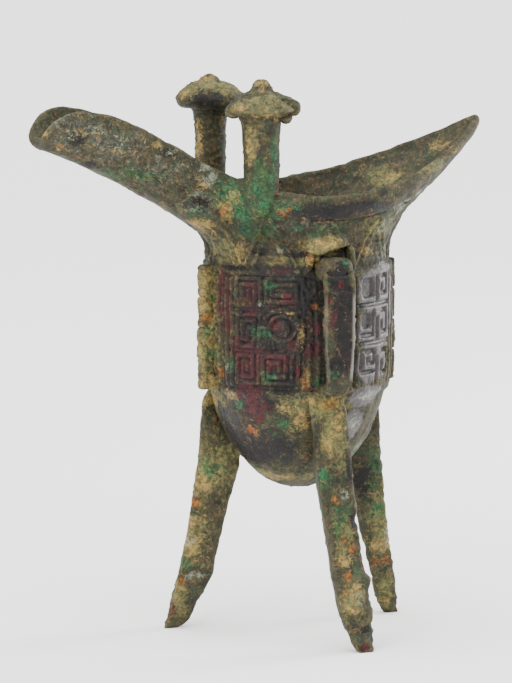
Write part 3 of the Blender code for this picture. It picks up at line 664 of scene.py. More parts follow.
def leg(name, bearings, foot_radius, width, blade_depth, taper, scars):
    """One blade leg with a closed flat top inside the wall and a worn foot.

    Each scar is a height, a side, 1 or -1 for the tail's or the spout's, and how far metal stands out there.
    """
    rows = []
    shares = np.linspace(0.0, 1.0, 76)
    for share in np.concatenate(([0.0], shares)):
        closing = 0.72 if not rows else 1.0
        height = share * LEG_TOP
        bearing = math.radians(bearings[0] + (bearings[1] - bearings[0]) * (1.0 - share))
        out = np.array((math.sin(bearing), -math.cos(bearing), 0.0))
        side = np.array((math.cos(bearing), math.sin(bearing), 0.0))
        root_radius = BODY_RADIUS + LEG_PROUD
        outer = root_radius + (foot_radius - root_radius) * (1.0 - share) ** 1.75
        outer -= (LEG_PROUD + 1.4) * float(smooth(share, 0.93, 1.0))
        spread = min(height / taper, 1.0)
        root = float(smooth(share, 0.4, 0.75))
        depth = FOOT_DEPTH + (blade_depth - FOOT_DEPTH) * spread ** 0.6 + LEG_ROOT_SWELL * root
        inner = max(outer - depth, float(body_radius(height)) - WALL / 2)
        half = (FOOT_WIDTH + (width - FOOT_WIDTH) * spread ** 0.6) / 2 * (1.0 + 0.12 * root)
        corners = (
            (outer - 0.17 * half, -half), (outer, -0.66 * half), (outer, 0.66 * half),
            (outer - 0.17 * half, half), (inner, 0.34 * half), (inner, -0.34 * half),
        )
        line = rounded(corners, 2)
        for place, side_sign, size in scars:
            swell = size * math.exp(-((height - place) / (1.6 + abs(size))) ** 2)
            line[:, 1] += swell * side_sign * smooth(line[:, 1] * side_sign, 0.2 * half, 0.9 * half)
        middle = line.mean(axis=0)
        line = middle + (line - middle) * closing
        rows.append(np.array([out * r + side * t + (0.0, 0.0, height) for r, t in line]))
    return object_from_rows(name, closed(rows), LEG)


FRONT_SCARS = (
    (24.0, 1, 1.9), (33.0, 1, -0.6), (45.0, 1, -1.0), (50.0, 1, 0.5), (8.0, 1, -0.7), (12.0, -1, 0.4),
)
SPOUT_SCARS = ((12.0, 1, 0.5), (30.0, -1, -0.4), (5.0, -1, -0.5))
TAIL_SCARS = ((40.0, 1, -0.4), (22.0, -1, 0.4), (60.0, -1, -0.5))
legs = [
    leg("front_leg", (-2.6, 9.0), 47.8, 12.8, 12.0, 15.0, FRONT_SCARS),
    leg("spout_leg", (-115.5, -116.0), 47.4, 12.0, 12.0, 20.0, SPOUT_SCARS),
    leg("tail_leg", (105.0, 111.0), 48.6, 10.6, 9.2, 38.0, TAIL_SCARS),
]
print("legs:", [len(one.data.polygons) for one in legs])

# %% [markdown]
# ## Posts with caps
# Two posts stand on the rim where the spout leaves it, with a cone cap near and a dome cap far. They
# could be spun with a Screw modifier; here one Geometry Nodes tree turns any profile curve into a
# closed form, so both posts come from the same rule.

# %% A tree that turns a profile
def add_node(tree, kind, pairs=(), **settings):
    """Add a node, set its properties or named sockets, and feed each socket of a pair a link or a value."""
    made = tree.nodes.new(kind)
    for key, value in settings.items():
        if key in made.inputs:
            made.inputs[key].default_value = value
        else:
            setattr(made, key, value)
    for socket, given in pairs:
        if isinstance(given, bpy.types.NodeSocket):
            tree.links.new(given, made.inputs[socket])
        else:
            made.inputs[socket].default_value = given
    return made


def new_tree(name, sockets):
    """Geometry Nodes tree with a geometry input and output and named inputs."""
    tree = bpy.data.node_groups.new(name, "GeometryNodeTree")
    tree.interface.new_socket("Geometry", in_out="INPUT", socket_type="NodeSocketGeometry")
    tree.interface.new_socket("Geometry", in_out="OUTPUT", socket_type="NodeSocketGeometry")
    for label, kind in sockets:
        tree.interface.new_socket(label, in_out="INPUT", socket_type=kind)
    return tree, tree.nodes.new("NodeGroupInput").outputs, tree.nodes.new("NodeGroupOutput")


def finish_tree(tree, geometry, material, output):
    """End a tree in Realize Instances and Set Material."""
    real = add_node(tree, "GeometryNodeRealizeInstances", [("Geometry", geometry)])
    ready = add_node(tree, "GeometryNodeSetMaterial", [
        ("Geometry", real.outputs[0]), ("Material", material),
    ])
    tree.links.new(ready.outputs[0], output.inputs[0])


def apply_tree(thing, tree, values):
    """Run a tree on an object with its named inputs set, and keep the result as a plain mesh."""
    modifier = thing.modifiers.new(tree.name, "NODES")
    modifier.node_group = tree
    for item in tree.interface.items_tree:
        if item.in_out == "INPUT" and item.name in values:
            modifier[item.identifier] = values[item.name]
    bpy.context.view_layer.update()
    graph = bpy.context.evaluated_depsgraph_get()
    mesh = bpy.data.meshes.new_from_object(thing.evaluated_get(graph))
    name = thing.name
    bpy.data.objects.remove(thing)
    return linked(name, mesh)


def turning_tree():
    """Turn a profile curve, given as radius along X and height along Z, about the upright axis."""
    tree, given, output = new_tree("turn_a_profile", (
        ("Around", "NodeSocketInt"), ("Along", "NodeSocketInt"), ("Place", "NodeSocketVector"),
        ("Material", "NodeSocketMaterial"),
    ))
    grid = add_node(tree, "GeometryNodeMeshGrid", [
        ("Size X", 1.0), ("Size Y", 1.0), ("Vertices X", given["Around"]), ("Vertices Y", given["Along"]),
    ])
    position = add_node(tree, "GeometryNodeInputPosition")
    apart = add_node(tree, "ShaderNodeSeparateXYZ", [(0, position.outputs[0])])
    turn = add_node(tree, "ShaderNodeMath", [(0, apart.outputs["X"]), (1, 2 * math.pi)], operation="MULTIPLY")
    share = add_node(tree, "ShaderNodeMath", [(0, apart.outputs["Y"]), (1, 0.5)], operation="ADD")
    sample = add_node(tree, "GeometryNodeSampleCurve", [
        ("Curves", given["Geometry"]), ("Factor", share.outputs[0]),
    ], mode="FACTOR", use_all_curves=True)
    around = add_node(tree, "ShaderNodeVectorRotate", [
        ("Vector", sample.outputs["Position"]), ("Angle", turn.outputs[0]),
    ], rotation_type="Z_AXIS")
    placed = add_node(tree, "ShaderNodeVectorMath", [
        (0, around.outputs[0]), (1, given["Place"]),
    ], operation="ADD")
    moved = add_node(tree, "GeometryNodeSetPosition", [
        ("Geometry", grid.outputs["Mesh"]), ("Position", placed.outputs[0]),
    ])
    welded = add_node(tree, "GeometryNodeMergeByDistance", [
        ("Geometry", moved.outputs[0]), ("Distance", WELD),
    ])
    finish_tree(tree, welded.outputs[0], given["Material"], output)
    return tree


WELD = 0.002 * MILLIMETRE
TURN_TREE = turning_tree()


def profile_curve(name, points):
    """Curve object through points of radius and height in millimetres."""
    curve = bpy.data.curves.new(name, "CURVE")
    curve.dimensions = "3D"
    spline = curve.splines.new("POLY")
    spline.points.add(len(points) - 1)
    for point, (radius, height) in zip(spline.points, points):
        point.co = (radius * MILLIMETRE, 0.0, height * MILLIMETRE, 1.0)
    return linked(name, curve)


def turned(name, place, profile, around, along, slot_number):
    """Closed turned form at a place in plan, from a rounded profile."""
    smooth_line = np.array(profile, float)
    for _ in range(2):
        before, after = smooth_line[:-1], smooth_line[1:]
        cut = np.stack((0.75 * before + 0.25 * after, 0.25 * before + 0.75 * after), axis=1)
        smooth_line = np.vstack((smooth_line[:1], cut.reshape(-1, 2), smooth_line[-1:]))
    line = [(0.0, smooth_line[0][1]), *map(tuple, smooth_line), (0.0, smooth_line[-1][1])]
    centre = to_frame((place[0], place[1], 0.0))
    made = apply_tree(profile_curve(name, line), TURN_TREE, {
        "Around": around + 1, "Along": along, "Place": tuple(centre), "Material": SKINS[slot_number],
    })
    outward(made)
    all_skins(made, slot_number)
    return made


# %% The two posts
POST_SETBACK = 23.5
POST_ROOT_LENGTH = 10.0
CAP_RADIUS = 12.0
CAP_DEPTH = 9.7
KNOB_RADIUS = 2.9
POST_RING = MOUTH_RADIUS - WALL / 2
SEAT = float(rim_height(-POST_SETBACK))
NEAR_POST_RISE = 37.4
NEAR_KNOB_HEIGHT = 3.9
NEAR_CAP = ((0.80, 0.80), (0.97, 0.70), (1.0, 0.63), (0.72, 0.33), (0.42, 0.10))
FAR_CAP = ((0.78, 0.98), (0.94, 0.87), (1.0, 0.69), (0.93, 0.47), (0.74, 0.24), (0.48, 0.07))


def post(name, side, rise, shaft, knob_height, cap):
    """A post on the rim with its cap and knob, as one turned form."""
    top = SEAT + rise
    shoulder = top - knob_height
    profile = [(share * shaft, SEAT - drop * POST_ROOT_LENGTH)
               for share, drop in ((0.30, 1.0), (0.66, 0.84), (0.90, 0.52), (1.0, 0.05))]
    profile.append((shaft, shoulder - CAP_DEPTH))
    profile += [(share * CAP_RADIUS, shoulder - drop * CAP_DEPTH) for share, drop in cap]
    profile += [(share * KNOB_RADIUS, shoulder + climb * knob_height)
                for share, climb in ((1.2, 0.0), (0.98, 0.38), (0.76, 0.68), (0.46, 0.88), (0.16, 0.95))]
    place = (-POST_SETBACK, side * math.sqrt(POST_RING ** 2 - POST_SETBACK ** 2))
    return turned(name, place, profile, 56, 110, POST)


near_post = post("near_post", -1, NEAR_POST_RISE, 6.1, NEAR_KNOB_HEIGHT, NEAR_CAP)
far_post = post("far_post", 1, 35.8, 5.45, 2.2, FAR_CAP)
print("posts:", [len(one.data.polygons) for one in (near_post, far_post)])

# %% [markdown]
# ## Handle and animal head
# A strap with raised edges runs down the near side, and an ox-like head bites its top: a wavy brow
# over a dark hollow, two ears and a muzzle. The strap is a rounded section carried along its path.
# The head is built from swollen ellipsoids, because the casting has no sharp corners left there.

# %% Sweep the strap
HANDLE_BEARING = -2.0
HANDLE_GAP = 8.6
HANDLE_THICKNESS = 3.0
HANDLE_CORNER = 9.0
STRAP_TOP = BAND_TOP + 3.6
STRAP_BOTTOM = BAND_BOTTOM + 1.0
STRAP_HEAD_WIDTH = 10.8
STRAP_FOOT_WIDTH = 7.6


def strap_half(height):
    """Half the strap's width at a height: full near the head and narrower towards the foot."""
    share = np.clip((height - STRAP_BOTTOM) / (2 * HANDLE_CORNER), 0.0, 1.0)
    return (STRAP_FOOT_WIDTH + (STRAP_HEAD_WIDTH - STRAP_FOOT_WIDTH) * share) / 2


def strap_path():
    """Middle line of the strap as radius and height, from inside the wall above to below."""
    corner = HANDLE_CORNER - HANDLE_THICKNESS / 2
    reach = BODY_RADIUS + HANDLE_GAP + HANDLE_THICKNESS / 2
    top = STRAP_TOP - HANDLE_THICKNESS / 2
    bottom = STRAP_BOTTOM + HANDLE_THICKNESS / 2
    turns = np.radians(np.linspace(0.0, 90.0, 12))
    foot = float(body_radius(bottom)) - ROOT_DEPTH
    path = [(r, top) for r in np.linspace(BODY_RADIUS - ROOT_DEPTH, reach - corner, 5)[:-1]]
    path += [(reach - corner * (1 - math.sin(a)), top - corner * (1 - math.cos(a))) for a in turns]
    path += [(reach, z) for z in np.linspace(top - corner, bottom + corner, 34)[1:-1]]
    path += [(reach - corner * (1 - math.cos(a)), bottom + corner * (1 - math.sin(a))) for a in turns]
    path += [(r, bottom) for r in np.linspace(reach - corner, foot, 5)[1:]]
    return np.array(path)


def strap():
    """The strap: a rounded section with a raised rib along both edges."""
    path = strap_path()
    along = np.gradient(path, axis=0)
    along /= np.linalg.norm(along, axis=1, keepdims=True)
    out = place_at(HANDLE_BEARING, 1.0, 0.0)
    side = place_at(HANDLE_BEARING + 90.0, 1.0, 0.0)
    turns = np.linspace(0.0, 2 * math.pi, 41)[:-1]
    rows = []
    for (radius, height), (run, climb) in zip(path, along):
        half = strap_half(height)
        across = half * np.sign(np.cos(turns)) * np.abs(np.cos(turns)) ** 0.36
        deep = HANDLE_THICKNESS / 2 * np.sign(np.sin(turns)) * np.abs(np.sin(turns)) ** 0.36
        hollow = 0.5 * (1.0 - smooth(np.abs(across), half - 1.3, half - 0.5)) * (deep > 0.0)
        deep = deep - hollow
        normal = (-climb, run)
        rows.append(np.array([
            out * (radius + d * normal[0]) + side * a + (0.0, 0.0, height + d * normal[1])
            for a, d in zip(across, deep)
        ]))
    return object_from_rows("strap", closed(rows), GRIP)


handle_strap = strap()
print("strap:", len(handle_strap.data.polygons), "faces")


# %% A rounded block
def swollen(name, centre, facing, half, power, tilt, slot_number, steps=28):
    """Rounded block with half sizes across, outwards and up, turned in its upright plane by tilt."""
    out = place_at(facing, 1.0, 0.0)
    side = place_at(facing + 90.0, 1.0, 0.0)
    lean = math.radians(tilt)
    rows = []
    for polar in np.linspace(-math.pi / 2, math.pi / 2, steps // 2 + 1):
        at_pole = abs(abs(polar) - math.pi / 2) < 0.01
        turns = [0.0] if at_pole else np.linspace(0.0, 2 * math.pi, steps + 1)[:-1]
        ring = []
        for turn in turns:
            flat = 0.0 if at_pole else abs(math.cos(polar)) ** power
            across = half[0] * flat * math.copysign(abs(math.cos(turn)) ** power, math.cos(turn))
            deep = half[1] * flat * math.copysign(abs(math.sin(turn)) ** power, math.sin(turn))
            up = half[2] * math.copysign(abs(math.sin(polar)) ** power, math.sin(polar))
            turned_across = across * math.cos(lean) - up * math.sin(lean)
            turned_up = across * math.sin(lean) + up * math.cos(lean)
            ring.append(centre + side * turned_across + out * deep + (0.0, 0.0, turned_up))
        rows.append(np.array(ring))
    return object_from_rows(name, rows, slot_number)


# %% The head's forms
HEAD = (
    ("ear_left", -15.4, 34.0, 136.8, (1.6, 2.2, 4.8), 0.9, -20.0),
    ("ear_right", 9.4, 34.8, 136.8, (1.1, 3.0, 5.4), 0.9, 4.0),
    ("forehead", -2.6, 33.0, 138.0, (5.8, 2.6, 3.2), 0.8, 0.0),
    ("muzzle", -2.0, 37.2, 134.2, (5.9, 5.0, 4.1), 0.65, 0.0),
)
head = [swollen(name, place_at(bearing, radius, height), bearing, half, power, tilt, GRIP)
        for name, bearing, radius, height, half, power, tilt in HEAD]
BROW_BEARINGS = (-20.0, -18.5, -15.0, -11.0, -7.0, -3.0, 1.0, 4.5, 7.0, 8.6)
BROW_TOPS = (142.8, 143.4, 144.6, 145.2, 145.4, 145.4, 145.2, 144.8, 144.4, 143.6)
BROW_FEET = (142.2, 141.4, 140.0, 139.2, 139.4, 140.4, 141.2, 141.6, 142.0, 142.8)
BROW_REACHES = (33.8, 36.0, 37.2, 37.8, 38.2, 38.2, 38.0, 37.6, 37.0, 34.0)


def brow():
    """Wavy brow slab that overhangs the hollow above the strap."""
    rows = []
    for bearing in np.linspace(BROW_BEARINGS[0], BROW_BEARINGS[-1], 44):
        top, foot, reach = (float(np.interp(bearing, BROW_BEARINGS, line))
                            for line in (BROW_TOPS, BROW_FEET, BROW_REACHES))
        corners = (
            (BODY_RADIUS - ROOT_DEPTH, foot + 0.6), (reach - 0.8, foot), (reach, foot + 0.35 * (top - foot)),
            (reach - 1.9, top - 0.9), (BODY_RADIUS + 0.4, top + 2.6), (BODY_RADIUS - ROOT_DEPTH, top + 2.6),
        )
        out = place_at(bearing, 1.0, 0.0)
        rows.append(np.array([out * r + (0.0, 0.0, z) for r, z in rounded(corners, 2)]))
    return object_from_rows("brow", closed(rows), GRIP)


head.append(brow())
print("head:", sum(len(one.data.polygons) for one in head), "faces")

# %% Lumps of metal on the near cap's edge
VIEW_BEARING = -21.7
CAP_LUMPS = (
    (11.2, 6.0, (2.6, 2.6, 2.7), 0.9),
    (8.6, 8.8, (2.2, 2.4, 2.6), 0.9),
    (5.6, 8.8, (3.0, 3.0, 2.1), 0.9),
    (7.0, 4.2, (3.8, 3.4, 2.2), 0.9),
    (-9.6, 7.6, (2.6, 2.8, 1.6), 0.9),
)
view_side = place_at(90.0 + VIEW_BEARING, 1.0, 0.0)
cap_top = SEAT + NEAR_POST_RISE - NEAR_KNOB_HEIGHT
cap_centre = np.array((-POST_SETBACK, -math.sqrt(POST_RING ** 2 - POST_SETBACK ** 2), cap_top))
cap_lumps = []
for number, (reach, drop, half, power) in enumerate(CAP_LUMPS):
    centre = cap_centre + view_side * reach - (0.0, 0.0, drop)
    cap_lumps.append(swollen(f"cap_lump_{number}", centre, VIEW_BEARING, half, power, 0.0, POST, 20))
print("lumps:", sum(len(one.data.polygons) for one in cap_lumps), "faces")

# %% [markdown]
# ## Flanges
# Three upright flanges hide the joints of the mould. Each is a thin web with four lobes, parted by
# shallow notches. Lobes repeat along a line, so a Geometry Nodes tree places copies of a swollen
# block along it. A tree input gives the number of lobes, and the web holds them together.

# %% A tree for the lobes
FLANGE_DEPTH = 4.7
FLANGE_THICKNESS = 3.0
FLANGE_LOBES = 4
WEB_HALF = 1.4


def lobe_tree():
    """Rounded blocks in a row up a line, with a small gap between them."""
    tree, given, output = new_tree("flange_lobes", (
        ("Count", "NodeSocketInt"), ("Start", "NodeSocketVector"), ("Step", "NodeSocketVector"),
        ("Size", "NodeSocketVector"), ("Turn", "NodeSocketVector"), ("Material", "NodeSocketMaterial"),
    ))
    line = add_node(tree, "GeometryNodeMeshLine", [
        ("Count", given["Count"]), ("Start Location", given["Start"]), ("Offset", given["Step"]),
    ], mode="OFFSET")
    block = add_node(tree, "GeometryNodeMeshCube", [
        ("Size", given["Size"]), ("Vertices X", 3), ("Vertices Y", 4), ("Vertices Z", 8),
    ])
    round_block = add_node(tree, "GeometryNodeSubdivisionSurface", [
        ("Mesh", block.outputs["Mesh"]), ("Level", 1),
    ])
    placed = add_node(tree, "GeometryNodeInstanceOnPoints", [
        ("Points", line.outputs[0]), ("Instance", round_block.outputs[0]), ("Rotation", given["Turn"]),
    ])
    finish_tree(tree, placed.outputs[0], given["Material"], output)
    return tree


LOBE_TREE = lobe_tree()


def flange(name, bearing):
    """One flange: a web from inside the wall and four lobes on its edge."""
    lobe = BAND_HEIGHT / FLANGE_LOBES
    start = place_at(bearing, BODY_RADIUS + 0.33 * FLANGE_DEPTH, BAND_BOTTOM + lobe / 2)
    size = np.array((FLANGE_THICKNESS * 1.12, 1.46 * FLANGE_DEPTH, 0.985 * lobe)) * MILLIMETRE
    holder = linked(f"{name}_lobes", bpy.data.meshes.new(f"{name}_lobes"))
    lobes = apply_tree(holder, LOBE_TREE, {
        "Count": FLANGE_LOBES, "Start": tuple(to_frame(start)), "Step": (0.0, 0.0, lobe * MILLIMETRE),
        "Size": tuple(size), "Turn": (0.0, 0.0, math.radians(bearing)), "Material": SKINS[FLANGE],
    })
    all_skins(lobes, FLANGE)
    out = place_at(bearing, 1.0, 0.0)
    side = place_at(bearing + 90.0, 1.0, 0.0)
    root = BODY_RADIUS - ROOT_DEPTH
    rows = []
    for height in np.linspace(BAND_BOTTOM + 0.4, BAND_TOP - 0.4, 60):
        edge = min(height - BAND_BOTTOM, BAND_TOP - height)
        reach = BODY_RADIUS + FLANGE_DEPTH * (0.30 + 0.58 * float(smooth(edge, 0.0, 6.0)))
        line = rounded((
            (root, -WEB_HALF), (reach, -WEB_HALF), (reach, WEB_HALF), (root, WEB_HALF),
        ), 1)
        rows.append(np.array([out * r + side * t + (0.0, 0.0, height) for r, t in line]))
    return [lobes, object_from_rows(f"{name}_web", closed(rows), FLANGE)]


FLANGE_BEARINGS = {"left": -90.0, "right": 90.0, "back": 180.0}
flanges = [part for name, bearing in FLANGE_BEARINGS.items() for part in flange(name, bearing)]
print("flanges:", sum(len(one.data.polygons) for one in flanges), "faces")

# %% [markdown]
# ## One casting
# The real cup has no joints: metal ran through the whole mould at once. The forms are joined with
# Boolean unions, and then the points near each seam are eased, which leaves the small fillet that a
# clay mould leaves.

# %% Join and ease the seams
def union(base, additions):
    """Join forms to the base one after another."""
    for addition in additions:
        modifier = base.modifiers.new("union", "BOOLEAN")
        modifier.operation = "UNION"
        modifier.solver = "MANIFOLD"
        modifier.object = addition
    bpy.context.view_layer.update()
    graph = bpy.context.evaluated_depsgraph_get()
    joined = bpy.data.meshes.new_from_object(base.evaluated_get(graph))
    base.modifiers.clear()
    base.data = joined
    for addition in additions:
        bpy.data.objects.remove(addition)


union(cup, [*flanges, *legs, near_post, far_post, *cap_lumps, handle_strap, *head])
print("joined:", len(cup.data.polygons), "faces")


def ease_seams(thing, rounds, reach):
    """Relax the points near the seams between forms, most at the seam itself."""
    bm = bmesh.new()
    bm.from_mesh(thing.data)
    bmesh.ops.remove_doubles(bm, verts=bm.verts, dist=1e-6)
    bmesh.ops.dissolve_degenerate(bm, edges=bm.edges, dist=2e-6)
    bmesh.ops.triangulate(bm, faces=[f for f in bm.faces if len(f.verts) > 4])
    seam = {v for v in bm.verts if len({f.material_index for f in v.link_faces}) > 1}
    weight = {v: 1.0 for v in seam}
    front = seam
    for step in range(reach):
        front = {e.other_vert(v) for v in front for e in v.link_edges} - weight.keys()
        for v in front:
            weight[v] = 1.0 - (step + 1) / (reach + 1)
    for _ in range(rounds):
        moved = {}
        for v in weight:
            moved[v] = sum((e.other_vert(v).co for e in v.link_edges), Vector()) / len(v.link_edges)
        for v, target in moved.items():
            v.co = v.co.lerp(target, 0.5 * weight[v])
    bmesh.ops.recalc_face_normals(bm, faces=bm.faces)
    bm.to_mesh(thing.data)
    bm.free()
    return len(seam)


print("seam points eased:", ease_seams(cup, 10, 3))

# %% [markdown]
# ## Where the photograph shows things
# The patches of the skin were found on the photograph and are written as ellipses in its
# pixels. Their places could be measured on the model by hand, but rays find them better: one goes
# from the fitted camera through the middle of each ellipse to the first surface that it meets.

# %% The fitted camera
AZIMUTH = math.radians(VIEW_BEARING)
ELEVATION = math.radians(7.8)
VIEW_DISTANCE = 1550.0
VIEW_HEIGHT = 100.0
PIXELS_PER_MM = 2.81
PICTURE_MIDDLE = (256.0, 341.5)
CUP_PIXEL = (297.0, 353.0)
LEVEL_SHARE = math.cos(ELEVATION)
back = Vector((math.sin(AZIMUTH) * LEVEL_SHARE, -math.cos(AZIMUTH) * LEVEL_SHARE, math.sin(ELEVATION)))
right = Vector((math.cos(AZIMUTH), math.sin(AZIMUTH), 0.0))
up = back.cross(right)
across_mm = (CUP_PIXEL[0] - PICTURE_MIDDLE[0]) / PIXELS_PER_MM
down_mm = (CUP_PIXEL[1] - PICTURE_MIDDLE[1]) / PIXELS_PER_MM
looked_at = Vector((AXIS_PLACE[0], AXIS_PLACE[1], VIEW_HEIGHT)) - right * across_mm + up * down_mm
view_point = looked_at + back * VIEW_DISTANCE
print("camera at", [round(v) for v in view_point], "mm")

# %% From an ellipse to a patch of the surface
NEAR_PIXELS_PER_MM = 2.866
LEAST_FACING = 0.45
OUTER_FACING = 0.95
OUTER_RADIUS = 40.0


def surface_of(thing):
    """Search tree over the faces of a form, for rays."""
    bm = bmesh.new()
    bm.from_mesh(thing.data)
    faces = BVHTree.FromBMesh(bm)
    bm.free()
    return faces


SURFACE = surface_of(cup)


def patch_seen(x, y, half_width, half_height):
    """Middle, half width and half height in millimetres of the patch under an ellipse in pixels.

    The half width grows where the round wall turns away from the camera. Legs, strap, spout and tail,
    further out than the wall, are seen almost straight on.
    """
    ray = right * (x - PICTURE_MIDDLE[0]) - up * (y - PICTURE_MIDDLE[1])
    ray -= back * PIXELS_PER_MM * VIEW_DISTANCE
    hit = SURFACE.ray_cast(view_point * MILLIMETRE, ray.normalized())[0]
    middle = np.array(hit) / MILLIMETRE - AXIS_PLACE
    radius = math.hypot(middle[0], middle[1])
    facing = max(LEAST_FACING, float(middle @ place_at(VIEW_BEARING, 1.0, 0.0)) / radius)
    if radius > OUTER_RADIUS:
        facing = OUTER_FACING
    return middle, half_width / (NEAR_PIXELS_PER_MM * facing), half_height / NEAR_PIXELS_PER_MM


print("middle of the strap:", [round(float(v), 1) for v in patch_seen(342, 318, 1, 1)[0]], "mm")

# %% [markdown]
# ## Three thousand years in the ground
# Salts in the soil ate shallow pits and grew crusts, so the skin is rough almost everywhere and
# smooth only where the metal was cleaned, right of the handle. Sculpting could do it by hand. A
# Geometry Nodes tree does it evenly instead: noise of three sizes moves the points along their
# normals, and two attributes say where the skin is smooth and where it is eaten deepest.

# %% Attributes of the points
def mesh_points(thing):
    """Points of a mesh in the cup's millimetres."""
    flat = np.empty(len(thing.data.vertices) * 3)
    thing.data.vertices.foreach_get("co", flat)
    return flat.reshape(-1, 3) / MILLIMETRE - AXIS_PLACE


def add_attribute(thing, name, values):
    """Store one number for each point of a mesh under a name."""
    layer = thing.data.attributes.new(name, "FLOAT", "POINT")
    layer.data.foreach_set("value", values)
    return float(np.mean(values))


def add_mask(thing, name, patches):
    """Point attribute from 0 to 1 that is high near patches: a middle, half a width, half a height."""
    points = mesh_points(thing)
    total = np.zeros(len(points))
    for middle, half_width, half_height in patches:
        apart = points - middle
        level = (apart[:, 0] ** 2 + apart[:, 1] ** 2) / half_width ** 2 + apart[:, 2] ** 2 / half_height ** 2
        total = np.maximum(total, np.exp(-0.8 * level ** 1.3))
    return add_attribute(thing, name, total)


# %% Where the metal is smooth or deeply eaten
SMOOTH_PLACES = (
    (372, 290, 14, 20), (372, 330, 14, 20), (372, 365, 14, 18), (366, 395, 14, 10), (352, 425, 9, 16),
    (383, 300, 8, 40),
)
EATEN_PLACES = (
    (-44.2, 33.8, 191.0, 14.0, 8.0), (-136.0, 33.8, 191.0, 13.0, 8.0), (9.0, 46.0, 10.0, 9.0, 16.0),
    (6.0, 44.0, 36.0, 9.0, 14.0), (-116.0, 46.0, 10.0, 9.0, 18.0), (111.0, 47.0, 10.0, 8.0, 20.0),
    (-2.0, 36.0, 84.0, 12.0, 6.0), (-90.0, 36.0, 111.0, 3.0, 22.0), (-78.0, 52.0, 168.0, 16.0, 9.0),
)
smooth_share_mean = add_mask(cup, "smooth_metal", [patch_seen(*place) for place in SMOOTH_PLACES])
eaten_mean = add_mask(cup, "deeply_eaten", [
    (place_at(bearing, radius, height), half_width, half_height)
    for bearing, radius, height, half_width, half_height in EATEN_PLACES
])
print("smooth share:", round(smooth_share_mean, 3), "deeply eaten share:", round(eaten_mean, 3))

# %% Where the ornament and the painted highlights on the strap's edges are
ORNAMENT_RADII = (30.0, 31.5, 35.0, 36.5)
ORNAMENT_HEIGHTS = (88.0, 90.0, 150.0, 152.0)
STRAP_HIGHLIGHT_HEIGHTS = (95.0, 98.0, 124.0, 127.0)


def add_ornament_mask(thing):
    """Point attributes: how far the ornament stands out, and where it is."""
    points = mesh_points(thing)
    height = points[:, 2]
    bearing = np.degrees(np.arctan2(points[:, 0], -points[:, 1]))
    near_wall = between(np.hypot(points[:, 0], points[:, 1]), *ORNAMENT_RADII)
    zone = near_wall * between(height, *ORNAMENT_HEIGHTS)
    raised = np.clip(ornament(bearing, height) / np.where(height < BAND_TOP, RELIEF, LEAF_RELIEF), 0.0, 1.0)
    add_attribute(thing, "ornament_zone", zone)
    return add_attribute(thing, "ornament_raised", raised * zone)


def add_strap_edge_highlight(thing):
    """Point attribute of a painted highlight along the strap's two edges, brighter on the tail's side, where
    the light falls, than on the spout's.
    """
    points = mesh_points(thing)
    across = points @ place_at(HANDLE_BEARING + 90.0, 1.0, 0.0)
    reach = points @ place_at(HANDLE_BEARING, 1.0, 0.0) - BODY_RADIUS - HANDLE_GAP
    height = points[:, 2]
    half = strap_half(height)
    near_tail = smooth(across, half - 1.1, half - 0.6)
    near_spout = 0.2 * smooth(-across, half - 0.7, half - 0.4)
    face = smooth(reach, 0.5 * HANDLE_THICKNESS, 0.8 * HANDLE_THICKNESS)
    edges = np.maximum(near_tail, near_spout) * face * between(height, *STRAP_HIGHLIGHT_HEIGHTS)
    return add_attribute(thing, "strap_edge_highlight", edges)


print("rubbed share:", round(add_strap_edge_highlight(cup), 4))
print("raised share:", round(add_ornament_mask(cup), 3))


